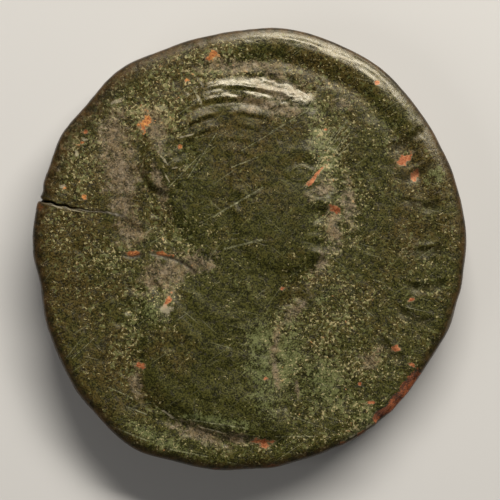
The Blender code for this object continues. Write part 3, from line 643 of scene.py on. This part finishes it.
def disc_grid(rings):
    """Disc of even triangles: ring k of n holds 6k spots at the share k / n."""
    radius = [np.zeros(1)]
    angle = [np.zeros(1)]
    faces = []
    for ring in range(rings):
        radius.append(np.full(6 * (ring + 1), (ring + 1) / rings))
        angle.append(np.arange(6 * (ring + 1)) * 60.0 / (ring + 1))
        inner_first = 0 if ring == 0 else 1 + 3 * ring * (ring - 1)
        inner_count = max(6 * ring, 1)
        outer_first = 1 + 3 * ring * (ring + 1)
        outer_count = 6 * (ring + 1)
        sector = np.arange(6)[:, None]
        step = np.arange(ring + 1)[None, :]
        outer = outer_first + (sector * (ring + 1) + step) % outer_count
        outer_next = outer_first + (sector * (ring + 1) + step + 1) % outer_count
        inner = inner_first + (sector * ring + step) % inner_count
        inner_next = inner_first + (sector * ring + step + 1) % inner_count
        faces.append(np.stack([inner, outer, outer_next], axis=-1).reshape(-1, 3))
        filler = np.stack([inner, outer_next, inner_next], axis=-1)[:, :-1]
        faces.append(filler.reshape(-1, 3))
    return np.concatenate(radius), np.concatenate(angle), np.vstack(faces)


def face_side(rings, height_function):
    """One face: the disc grid stretched to the outline, its spokes drawn together at
    the crack, and raised by the height function."""
    share, angle, faces = disc_grid(rings)
    turn = turn_from(angle, CRACK_ANGLE)
    angle = angle - 0.65 * turn * bell(turn, 5.0) * ease(share, 0.45, 0.60)
    outline = flan_radius(angle)
    reach = share * (outline - EDGE_ROUNDING)
    x = reach * np.cos(np.radians(angle))
    y = reach * np.sin(np.radians(angle))
    return np.stack([x, y, height_function(x, y, outline - reach)], axis=1), faces


EDGE_LUMPS = 0.035
EDGE_GRAIN = 0.012
MOUTH_DEPTH = 0.55
MOUTH_HALF_WIDTH = 0.11


def edge_rows(top, bottom):
    """Edge: rows from the top ring to the bottom ring, bulging by a rounded square
    section, with hammer unevenness and the mouth of the crack pressed in."""
    rows = []
    reach = np.hypot(top[:, 0], top[:, 1])
    angle = np.degrees(np.arctan2(top[:, 1], top[:, 0]))
    along = np.radians(angle) * BASE_RADIUS
    mouth = np.radians(turn_from(angle, CRACK_ANGLE)) * reach
    for row in range(1, EDGE_ROWS):
        share = 0.5 - 0.5 * math.cos(math.pi * row / EDGE_ROWS)
        fill = math.sqrt(1.0 - abs(1.0 - 2.0 * share) ** EDGE_SQUARENESS)
        spot = top + (bottom - top) * share
        lumps = EDGE_LUMPS * grain(along, spot[:, 2], 1.5, 101)
        lumps = lumps + EDGE_GRAIN * grain(along, spot[:, 2], 0.5, 102)
        slot = bell(mouth + 0.15 * (share - 0.3), MOUTH_HALF_WIDTH)
        slot = MOUTH_DEPTH * slot * (1.0 - 0.7 * share)
        grow = (reach + EDGE_ROUNDING * fill + fill * (lumps - 0.05) - fill * slot) / reach
        spot[:, :2] = top[:, :2] * grow[:, None]
        rows.append(spot)
    return rows


def flan_mesh():
    """The whole flan as one closed skin: both faces and the edge rows between them,
    the last row stitched two to one to the coarser reverse."""
    top, top_faces = face_side(OBVERSE_RINGS, obverse_height)
    bottom, bottom_faces = face_side(REVERSE_RINGS, reverse_height)
    fine, coarse = 6 * OBVERSE_RINGS, 6 * REVERSE_RINGS
    ring = bottom[-coarse:]
    halfway = 0.5 * (ring + np.roll(ring, -1, axis=0))
    rows = edge_rows(top[-fine:], np.stack([ring, halfway], axis=1).reshape(-1, 3))
    vertices = np.vstack([top] + rows + [bottom])
    step = np.arange(fine)
    after = (step + 1) % fine
    firsts = [len(top) - fine] + [len(top) + fine * row for row in range(EDGE_ROWS - 1)]
    faces = [top_faces]
    for upper, lower in zip(firsts[:-1], firsts[1:]):
        faces.append(np.stack([upper + step, lower + step, lower + after], axis=1))
        faces.append(np.stack([upper + step, lower + after, upper + after], axis=1))
    bottom_first = len(top) + fine * (EDGE_ROWS - 1)
    pair = np.arange(coarse)
    here, there = firsts[-1] + 2 * pair, firsts[-1] + (2 * pair + 2) % fine
    low = bottom_first + len(bottom) - coarse + pair
    low_next = bottom_first + len(bottom) - coarse + (pair + 1) % coarse
    faces.append(np.stack([here, low, here + 1], axis=1))
    faces.append(np.stack([here + 1, low, low_next], axis=1))
    faces.append(np.stack([here + 1, low_next, there], axis=1))
    faces.append(bottom_faces[:, ::-1] + bottom_first)
    return vertices, np.vstack(faces), len(top), bottom_first


# The edge band widens about this angle as painted shade, where the edge turns away from the key light.
SHADE_ANGLE = 140.0
SHADE_SPREAD = 34.0


def brown_and_shade_band(x, y, angle, inset):
    """Brown band along the edge, partly the worn edge's own brown and partly painted shade:
    one at the edge, nought past the band's width, which is least at the proud rim and most
    at the upper left, where the edge turns away from the key light, and thinner under green."""
    width = 1.00 - 0.40 * proud_share(x, y) + 1.20 * bell(turn_from(angle, SHADE_ANGLE), SHADE_SPREAD)
    green = ease(spot_field(x, y, VERDIGRIS_PATCHES), -0.2, 0.3)
    return (1.0 - ease(inset, 0.20, width)) * (1.0 - 0.6 * green)


def surface_masks(spots, top_count, bottom_first):
    """Where each kind of surface lies, one value a vertex: nearness to the matt, bare,
    pale and green spots, how crowded the specks are, and how far a spot is in the chip,
    beside the bust, on it, at the edge, polished, rubbed, in a crack or beside a mark."""
    x, y, z = spots.T
    angle = np.degrees(np.arctan2(y, x))
    inset = flan_radius(angle) - np.hypot(x, y)
    depth = depth_inside(x, y, bust_outline())
    obverse = np.zeros(len(spots))
    obverse[:top_count] = 1.0
    edge = np.zeros(len(spots))
    edge[top_count:bottom_first] = 1.0
    reverse = 1.0 - obverse - edge
    away = -3.0 * reverse - 1.4 * edge * np.clip(2.9 - z, 0.0, None)
    patches = -0.7 - 1.6 * rough_grain(x, y, 5.0, 95)
    along = np.radians(turn_from(angle, CHIP_ANGLE)) * BASE_RADIUS
    ragged = z - 1.9 - 0.12 * along**2 + 0.8 * rough_grain(along, z, 1.0, 86)
    crack = bell(path_side(x, y, smooth_path(CRACK_LINE)) - 0.03, 0.10) * (1.0 - ease(x, -9.0, -7.9))
    for points in SPLIT_LINES:
        crack = np.maximum(crack, ridge(x, y, points, 1.3 * SPLIT_HALF_WIDTH))
    # Marks: a band on the hollow side of each stroke, darkened as painted shade and dirt.
    marks = np.zeros(len(spots))
    for points in BORDER_MARKS:
        side = path_side(x, y, smooth_path(points))
        marks = np.maximum(marks, bell(side + 2.2 * MARK_HALF_WIDTH, 1.6 * MARK_HALF_WIDTH))
    beside = np.exp(-np.abs(depth + 0.35) / 1.1) * ease(1.5 - depth, 0.0, 1.5)
    polish = ease(depth, -0.5, 0.0) * ease(y, 9.2, 10.6) * ease(5.2 - x, 0.0, 1.2)
    rubbed = np.maximum(polish, proud_share(x, y) * bell(inset - 0.9, 0.8))
    return {
        "matt": np.where(reverse > 0.5, patches, spot_field(x, y, MATT_PATCHES) + away),
        "copper": spot_field(x, y, COPPER_SPOTS) + away,
        # pale crusts, and the painted highlights on the crack's lip, a lock's end and behind the neck
        "pale": spot_field(x, y, PALE_CRUSTS_AND_HIGHLIGHTS) + away,
        "verdigris": spot_field(x, y, VERDIGRIS_PATCHES) + away,
        "crowd": crowding(x, y, SPECKLED_AND_SHADED_PLACES) * obverse + 0.3 * reverse,
        "chip": chip_share(x, y, inset) * np.maximum(obverse, edge * ease(ragged, -0.15, 0.25)),
        "beside": beside * obverse,
        "bust": ease(depth, -0.2, 0.6) * obverse,
        "edge": np.maximum(edge, brown_and_shade_band(x, y, angle, inset)),
        "polish": polish * obverse,
        "rubbed": rubbed * obverse,
        "crack": crack * obverse,
        "marks": marks * obverse,
        "obverse": obverse,
    }


def placed(name, data):
    """A new object of the scene that shows the data."""
    item = bpy.data.objects.new(name, data)
    bpy.context.scene.collection.objects.link(item)
    return item


vertices, triangles, top_count, bottom_first = flan_mesh()
masks = surface_masks(vertices, top_count, bottom_first)
shift = 0.5 * (vertices.min(axis=0) + vertices.max(axis=0))
shift[2] = 0.0
mesh = bpy.data.meshes.new("coin_flan")
mesh.vertices.add(len(vertices))
mesh.vertices.foreach_set("co", ((vertices - shift) * MM).ravel())
mesh.loops.add(3 * len(triangles))
mesh.loops.foreach_set("vertex_index", triangles.ravel())
mesh.polygons.add(len(triangles))
mesh.polygons.foreach_set("loop_start", np.arange(0, 3 * len(triangles), 3))
mesh.update(calc_edges=True)
mesh.polygons.foreach_set("use_smooth", np.ones(len(triangles), dtype=bool))
for name, values in masks.items():
    mesh.attributes.new(name, "FLOAT", "POINT").data.foreach_set("value", values)
mesh.validate()
coin = placed("coin_flan", mesh)


# The bake layout
# Plan views of the two faces and a strip of the edge, so that the pattern keeps its scale.

OBVERSE_PATCH = (0.317, 0.683, 0.0195)
REVERSE_PATCH = (0.745, 0.290, 0.0150)
STRIP_START = (0.004, 0.006)
STRIP_SIZE = (0.99, 0.0095)
SEAM_GAP = 0.02


def bake_layout():
    """Plan view of each face moved and scaled to its patch; the edge unrolled by its
    angle along the bottom, each triangle kept on one side of the seam."""
    spots = vertices[triangles.ravel()]
    on_top = (triangles.max(axis=1) < top_count).repeat(3)
    on_bottom = (triangles.min(axis=1) >= bottom_first).repeat(3)
    layout = np.empty((len(spots), 2))
    for side, patch in ((on_top, OBVERSE_PATCH), (on_bottom, REVERSE_PATCH)):
        layout[side] = np.array(patch[:2]) + patch[2] * spots[side, :2]
    angle = np.arctan2(spots[:, 1], spots[:, 0]).reshape(-1, 3)
    wraps = (angle.max(axis=1) - angle.min(axis=1) > math.pi)[:, None]
    angle = np.where(wraps & (angle < 0.0), angle + 2.0 * math.pi, angle).ravel()
    side = ~(on_top | on_bottom)
    around = (angle[side] + math.pi) / (2.0 * math.pi + SEAM_GAP)
    layout[side, 0] = STRIP_START[0] + STRIP_SIZE[0] * around
    layout[side, 1] = STRIP_START[1] + STRIP_SIZE[1] * spots[side, 2]
    return layout


mesh.uv_layers.new(name="OFBake").uv.foreach_set("vector", bake_layout().ravel())

# The patina
# A dark olive skin over bronze, brown where it is thin. It is speckled with paler
# deposits beside the relief and scored by fine scratches that cut to lighter metal.

OLIVE = (0.008, 0.009, 0.0016), (0.069, 0.067, 0.0126)
BROWN = (0.011, 0.0085, 0.0016), (0.086, 0.061, 0.0134)
BROWNER_PLACE = (12.4, 6.0, 0.0)
VERDIGRIS = (0.052, 0.062, 0.016), (0.175, 0.198, 0.082)
PALE_SPECK = (0.385, 0.330, 0.160)
GREEN_SPECK = (0.150, 0.162, 0.060)
PIT_DIRT = (0.006, 0.005, 0.002)
GREY_DARK = (0.026, 0.020, 0.012)
GREY_DUST = (0.295, 0.234, 0.160), (0.240, 0.168, 0.086)
COPPER_DARK = (0.24, 0.058, 0.018)
COPPER_LIGHT = (0.52, 0.205, 0.088), (0.63, 0.285, 0.078)
COPPER_BORDER = (0.26, 0.20, 0.11)
PINPRICK = (0.48, 0.235, 0.085), (0.42, 0.36, 0.19)
# Pale crust colour, also used for painted highlights on the crack's lip, a lock's end and behind the
# neck.
PALE_CRUST_AND_HIGHLIGHT = (0.44, 0.39, 0.27)
# Painted shade and dirt on the hollow side of the border marks.
MARK_SHADE_AND_DIRT = (0.012, 0.010, 0.003)
# Edge band colours: the worn edge's brown, also laid as painted shade where the band widens at the upper
# left.
EDGE_BROWN_AND_SHADE = (0.010, 0.006, 0.002), (0.054, 0.027, 0.009)
RUST = (0.085, 0.022, 0.008), (0.53, 0.150, 0.050)
# Near-black laid along the crack and the splits.
CRACK_DARK = (0.010, 0.006, 0.003)
SCRATCH_METAL = (0.230, 0.230, 0.130)
SHEEN_TINT = (1.0, 0.93, 0.76, 1.0)
BUMP_STRENGTH = 0.75
BUMP_HEIGHT = 0.06 * MM
SCRATCHES = [
    ((-2.53, 2.32), (0.91, 4.35), 0.09), ((-1.76, 0.07), (0.84, 0.70), 0.105),
    ((-1.26, 5.76), (0.56, 6.46), 0.06), ((-4.28, 5.06), (-2.32, 8.15), 0.0525),
    ((1.55, 8.29), (4.00, 9.69), 0.039), ((4.00, 9.69), (5.20, 12.15), 0.045),
    ((4.78, 6.25), (7.02, 8.64), 0.0675), ((5.06, 6.95), (6.53, 8.78), 0.06),
    ((3.93, 4.35), (5.97, 8.36), 0.0675), ((5.62, 5.90), (7.16, 7.66), 0.06),
    ((-8.64, -10.96), (-7.23, -11.52), 0.075), ((-9.83, -12.29), (-7.23, -13.35), 0.0675),
    ((-5.55, -13.98), (-2.95, -14.47), 0.0675), ((-1.55, -14.89), (0.56, -15.30), 0.0675),
    ((-4.35, -11.87), (-0.35, -12.43), 0.06), ((1.83, -13.06), (4.43, -13.06), 0.06),
    ((-4.00, 11.38), (-3.23, 9.83), 0.051), ((-6.35, 3.65), (-3.4, 6.7), 0.045),
    ((5.40, 7.00), (6.85, 9.10), 0.0675), ((5.06, 5.50), (6.70, 8.00), 0.06),
    ((5.70, 6.25), (7.30, 8.60), 0.0525), ((4.85, 7.10), (5.70, 8.55), 0.075),
    ((-0.60, 6.90), (2.90, 9.00), 0.033), ((-9.90, -9.60), (-8.20, -10.40), 0.06),
    ((-12.40, -7.60), (-10.90, -6.20), 0.036), ((2.20, -11.40), (5.60, -12.60), 0.033),
]
HAIRLINE_FIELDS = [
    (34.0, 3.0, 0.66, 0.74), (52.0, 23.0, 0.69, 0.76),
    (-14.0, 47.0, 0.68, 0.76), (-41.0, 67.0, 0.69, 0.77),
]
HAIRLINE_SIZE = (4.0, 0.14, 1.0)

patina = bpy.data.materials.new("bronze_patina")
patina.use_nodes = True
tree = patina.node_tree
tree.nodes.clear()


def join(value, socket):
    """Links an output to the socket, or sets the socket to a plain value."""
    if isinstance(value, bpy.types.NodeSocket):
        tree.links.new(value, socket)
    elif hasattr(socket.default_value, "__len__") and not hasattr(value, "__len__"):
        socket.default_value = (value,) * len(socket.default_value)
    elif hasattr(value, "__len__") and len(socket.default_value) == 4 and len(value) == 3:
        socket.default_value = (*value, 1.0)
    else:
        socket.default_value = value


def node(kind, values, **settings):
    """A node of the kind with these settings, and the values joined to its inputs."""
    item = tree.nodes.new("ShaderNode" + kind)
    for name, setting in settings.items():
        setattr(item, name, setting)
    for name, value in values.items():
        join(value, item.inputs[name])
    return item


def calc(operation, first, second):
    """One number from two by a math node."""
    return node("Math", {0: first, 1: second}, operation=operation).outputs[0]


def add(first, *others):
    """Sum of all the values."""
    for other in others:
        first = calc("ADD", first, other)
    return first


def times(first, *others):
    """Product of all the values."""
    for other in others:
        first = calc("MULTIPLY", first, other)
    return first


def rest_of(value, share=1.0):
    """One less the value times the share."""
    return calc("SUBTRACT", 1.0, times(value, share))


def vector(operation, first, second=(0.0, 0.0, 0.0), number=None):
    """A vector, or for DOT_PRODUCT and LENGTH a number, by a vector math node."""
    values = {0: first, 1: second} if number is None else {0: first, "Scale": number}
    item = node("VectorMath", values, operation=operation)
    return item.outputs["Value" if operation in ("DOT_PRODUCT", "LENGTH") else "Vector"]


def ramp_up(value, start, end, low=0.0, high=1.0):
    """Smooth ramp of the value from low at start to high at end."""
    values = dict(enumerate((value, start, end, low, high)))
    return node("MapRange", values, interpolation_type="SMOOTHSTEP").outputs[0]


def mix(share, first, second):
    """Blend of two colours by a share."""
    return node("Mix", {0: share, 6: first, 7: second}, data_type="RGBA").outputs[2]


def two_tone(value, start, end, dark, light):
    """Colour that runs from dark to light as the value climbs from start to end."""
    return mix(ramp_up(value, start, end), dark, light)


def cover(colour, share, strength, coat):
    """The colour with a coat over it where the share is one, as thick as the strength."""
    return mix(times(share, strength), colour, coat)


def noise(place, scale, detail, roughness, warp=0.0):
    """Cloudy noise of so many lumps a millimetre."""
    names = "Vector", "Scale", "Detail", "Roughness", "Distortion"
    return node("TexNoise", dict(zip(names, (place, scale, detail, roughness, warp)))).outputs[0]


def mask(name):
    """The value that the mesh carries under this name."""
    return node("Attribute", {}, attribute_name=name).outputs["Fac"]


def near_line(place, start, end, half_width):
    """One along a straight line, falling to nothing at its half width."""
    run = np.array([end[0] - start[0], end[1] - start[1], 0.0])
    away = vector("SUBTRACT", place, (start[0], start[1], 0.0))
    share = times(vector("DOT_PRODUCT", away, tuple(run)), 1.0 / float(run @ run))
    share = calc("MINIMUM", calc("MAXIMUM", share, 0.0), 1.0)
    onto = vector("SCALE", tuple(run), number=share)
    gap = vector("LENGTH", vector("SUBTRACT", away, onto))
    return ramp_up(gap, half_width, 0.25 * half_width)


coordinates = node("TexCoord", {}).outputs["Object"]
place = vector("ADD", vector("SCALE", coordinates, number=1000.0), tuple(shift))
flat_place = vector("MULTIPLY", place, (1.0, 1.0, 0.0))


def apart(x, y, z):
    """The place moved by so much, so that two noises don't match."""
    return vector("ADD", place, (x, y, z))


def about(value, gain):
    """How far a noise is from its middle, times the gain."""
    return times(calc("SUBTRACT", value, 0.5), gain)


broad = noise(place, 0.16, 3.0, 0.55)
cloud = noise(apart(31.0, 7.0, 3.0), 0.55, 4.0, 0.62)
lumps = noise(place, 1.5, 5.0, 0.68)
grit = noise(apart(5.0, 17.0, 2.0), 3.6, 3.0, 0.70)
fine = noise(apart(9.0, 3.0, 8.0), 9.0, 2.0, 0.75)
fibres = noise(apart(19.0, 23.0, 8.0), 3.2, 3.0, 0.75, 1.4)
rubbed = mask("rubbed")

# olive to brown ground with fine mottling
tone = add(about(lumps, 0.9), about(grit, 1.3), about(fine, 3.8))
olive = two_tone(tone, -0.40, 0.45, *OLIVE)
brown = two_tone(tone, -0.40, 0.45, *BROWN)
hue = add(about(broad, 1.2), about(cloud, 1.2), about(lumps, 0.9), times(mask("bust"), -0.20))
hue = add(hue, vector("DOT_PRODUCT", flat_place, (-0.012, 0.010, 0.0)))
from_brown = vector("LENGTH", vector("SUBTRACT", flat_place, BROWNER_PLACE))
hue = add(hue, ramp_up(from_brown, 3.6, 0.8, 0.03, 0.40))
colour = mix(ramp_up(hue, -0.22, 0.30), olive, brown)

# verdigris bloom, and pale and green specks, thicker beside the relief
bloom = add(mask("verdigris"), about(lumps, 3.6), about(grit, 4.0), about(fine, 3.0), about(cloud, 3.0))
green_tone = add(about(lumps, 1.6), about(grit, 0.9), about(fine, 2.0))
green = two_tone(green_tone, -0.35, 0.45, *VERDIGRIS)
colour = cover(colour, ramp_up(bloom, -0.4, 1.1), 0.72, green)
# how crowded the specks are, thinned under the chin as painted shade
crowd = add(times(mask("beside"), 0.05), times(mask("crowd"), 0.080))
crowd = add(crowd, times(calc("MAXIMUM", mask("bust"), rubbed), -0.035))
crowd = add(crowd, about(cloud, 0.30), about(lumps, 0.26))
speck = noise(apart(2.0, 41.0, 6.0), 5.0, 2.0, 0.60)
pale_specks = ramp_up(add(speck, crowd), 0.655, 0.715)
colour = cover(colour, pale_specks, 0.84, PALE_SPECK)
speck = noise(apart(23.0, 1.0, 16.0), 4.0, 2.5, 0.65)
colour = cover(colour, ramp_up(add(speck, crowd), 0.60, 0.68), 0.60, GREEN_SPECK)
dark_pits = ramp_up(noise(apart(13.0, 11.0, 1.0), 2.6, 4.0, 0.72), 0.43, 0.35)
dark_pits = times(dark_pits, rest_of(rubbed, 0.9))
colour = cover(colour, dark_pits, 0.65, PIT_DIRT)

# matt grey patches
matt = add(mask("matt"), about(lumps, 3.4), about(fibres, 2.6), about(cloud, 1.6))
matt = ramp_up(matt, -0.55, 0.95)
grey_tone = add(about(fibres, 1.5), about(fine, 1.3), about(lumps, 1.3))
dust = two_tone(add(about(cloud, 1.6), about(grit, 1.6)), -0.3, 0.3, *GREY_DUST)
colour = cover(colour, matt, 0.85, two_tone(grey_tone, -0.40, 0.45, GREY_DARK, dust))

# bare coppery spots with a pale border, pinpricks of them, and pale crusts with painted highlights among
# them
crumbs = noise(apart(3.0, 29.0, 5.0), 2.2, 4.0, 0.70)
copper = add(mask("copper"), about(crumbs, 4.2))
colour = cover(colour, ramp_up(copper, -0.50, -0.05), 0.50, COPPER_BORDER)
bare = ramp_up(copper, -0.06, 0.12)
upper_left = vector("DOT_PRODUCT", flat_place, (-0.05, 0.05, 0.0))
copper_light = two_tone(upper_left, -0.1, 0.6, *COPPER_LIGHT)
colour = mix(bare, colour, two_tone(grey_tone, -0.35, 0.40, COPPER_DARK, copper_light))
pinpricks = ramp_up(add(noise(apart(71.0, 3.0, 4.0), 2.5, 3.5, 0.66), crowd), 0.725, 0.765)
colour = cover(colour, pinpricks, 0.70, two_tone(lumps, 0.45, 0.60, *PINPRICK))
# pale crusts, with painted highlights along the crack's lower lip, a lock's end and a spot behind the
# neck
crust_and_highlight = ramp_up(add(mask("pale"), about(crumbs, 4.0)), -0.2, 0.5)
colour = cover(colour, crust_and_highlight, 0.60, PALE_CRUST_AND_HIGHLIGHT)

# marks, edge, chip and cracks
# painted shade and dirt on the hollow side of the border marks
colour = cover(colour, mask("marks"), 0.55, MARK_SHADE_AND_DIRT)
# the edge band: brown of the worn edge, and painted shade where it widens at the upper left
edge = mask("edge")
colour = cover(colour, edge, 0.85, two_tone(lumps, 0.40, 0.62, *EDGE_BROWN_AND_SHADE))
chip = ramp_up(add(mask("chip"), about(grit, 0.7)), 0.06, 0.18)
chip = times(chip, ramp_up(mask("chip"), 0.0, 0.05))
colour = mix(chip, colour, two_tone(grey_tone, -0.30, 0.35, *RUST))
# the crack and the splits darkened nearly to black
colour = cover(colour, mask("crack"), 0.90, CRACK_DARK)

# scratches: those that stand out, then fields of hairlines
cut = 0.0
for start, end, half_width in SCRATCHES:
    cut = calc("MAXIMUM", cut, near_line(flat_place, start, end, half_width))
broken = times(ramp_up(grit, 0.40, 0.55, 0.30, 1.0), ramp_up(fine, 0.40, 0.58, 0.30, 1.0))
cut = times(cut, mask("obverse"), broken)
for turn, seed, low, high in HAIRLINE_FIELDS:
    values = {"Vector": flat_place, "Location": (seed, seed, 0.0), "Scale": HAIRLINE_SIZE}
    values["Rotation"] = (0.0, 0.0, math.radians(turn))
    drawn_out = node("Mapping", values, vector_type="TEXTURE").outputs[0]
    hairlines = ramp_up(noise(drawn_out, 1.0, 2.0, 0.5), low, high)
    cut = calc("MAXIMUM", cut, times(hairlines, 0.45))
cut = times(cut, rest_of(matt, 0.6), rest_of(edge))
colour = cover(colour, cut, 0.84, SCRATCH_METAL)

# finish, and relief too fine for the mesh
roughness = add(ramp_up(tone, -0.35, 0.40, 0.38, 0.47), times(matt, 0.08), times(chip, 0.25))
roughness = add(roughness, times(calc("MAXIMUM", pale_specks, bare), 0.18), times(rubbed, -0.14))
height = add(times(grit, 0.55), times(fine, 0.38), times(lumps, 0.5), times(matt, grit, 0.7))
height = add(height, times(cut, -0.35), times(dark_pits, -0.35))
height = add(height, times(calc("MAXIMUM", pinpricks, pale_specks), 0.30))
height = times(height, rest_of(rubbed, 0.65))
bump = node("Bump", {"Strength": BUMP_STRENGTH, "Distance": BUMP_HEIGHT, "Height": height})
gloss = add(ramp_up(edge, 0.0, 1.0, 0.45, 0.30), times(calc("SUBTRACT", rubbed, mask("polish")), 0.12))
gloss = add(gloss, times(mask("polish"), 0.30))
shader = node("BsdfPrincipled", {
    "Base Color": colour, "Roughness": roughness, "Metallic": times(bare, 0.12),
    "Specular IOR Level": gloss, "Specular Tint": SHEEN_TINT, "Normal": bump.outputs[0],
})
node("OutputMaterial", {0: shader.outputs[0]})
mesh.materials.append(patina)

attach(coin, "root")
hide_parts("coin")

# The setting
# A plain pale table top under soft studio light from above the portrait's head.

FLOOR_HALF_SIZE = 0.60
FLOOR_COLOUR = (0.60, 0.595, 0.585, 1.0)
FLOOR_ROUGHNESS = 0.9

floor_mesh = bpy.data.meshes.new("floor")
corners = [(-1.0, -1.0), (1.0, -1.0), (1.0, 1.0), (-1.0, 1.0)]
corners = [(x * FLOOR_HALF_SIZE, y * FLOOR_HALF_SIZE, 0.0) for x, y in corners]
floor_mesh.from_pydata(corners, [], [(0, 1, 2, 3)])
floor = placed("floor", floor_mesh)
paper = bpy.data.materials.new("floor_paper")
paper.use_nodes = True
paper_shader = paper.node_tree.nodes["Principled BSDF"]
paper_shader.inputs["Base Color"].default_value = FLOOR_COLOUR
paper_shader.inputs["Roughness"].default_value = FLOOR_ROUGHNESS
floor_mesh.materials.append(paper)


def soft_light(name, place, size, power, colour, glossy):
    """Rectangular soft light that looks from its place to the coin's middle, and shows
    in reflections only if glossy."""
    data = bpy.data.lights.new(name, "AREA")
    data.shape = "RECTANGLE"
    data.size, data.size_y = size
    data.energy = power
    data.color = colour
    item = placed(name, data)
    item.location = place
    item.rotation_mode = "QUATERNION"
    item.rotation_quaternion = (-Vector(place)).to_track_quat("-Z", "Y")
    item.visible_glossy = glossy


soft_light("key", (0.088, 0.240, 0.190), (0.33, 0.070), 1.9, (1.0, 0.95, 0.87), True)
soft_light("fill", (-0.26, -0.12, 0.16), (0.25, 0.20), 0.30, (1.0, 0.97, 0.93), False)

WORLD_COLOUR = (1.0, 0.98, 0.95, 1.0)
WORLD_STRENGTH = 0.03

world = bpy.data.worlds.new("studio")
world.use_nodes = True
world.node_tree.nodes["Background"].inputs["Color"].default_value = WORLD_COLOUR
world.node_tree.nodes["Background"].inputs["Strength"].default_value = WORLD_STRENGTH
bpy.context.scene.world = world
bpy.context.scene.view_settings.view_transform = "Standard"

PHOTO_PIXELS = 500
PIXEL_SIZE = 0.07024 * MM
PHOTO_MIDDLE = (0.035 * MM, -0.070 * MM)
FOCUS_LEVEL = 3.0 * MM
LENS = 150.0
SENSOR = 36.0

camera_data = bpy.data.cameras.new("camera")
camera_data.lens = LENS
camera_data.sensor_width = SENSOR
camera = placed("camera", camera_data)
camera_height = FOCUS_LEVEL + PHOTO_PIXELS * PIXEL_SIZE * LENS / SENSOR
camera.location = (*PHOTO_MIDDLE, camera_height)
bpy.context.scene.camera = camera
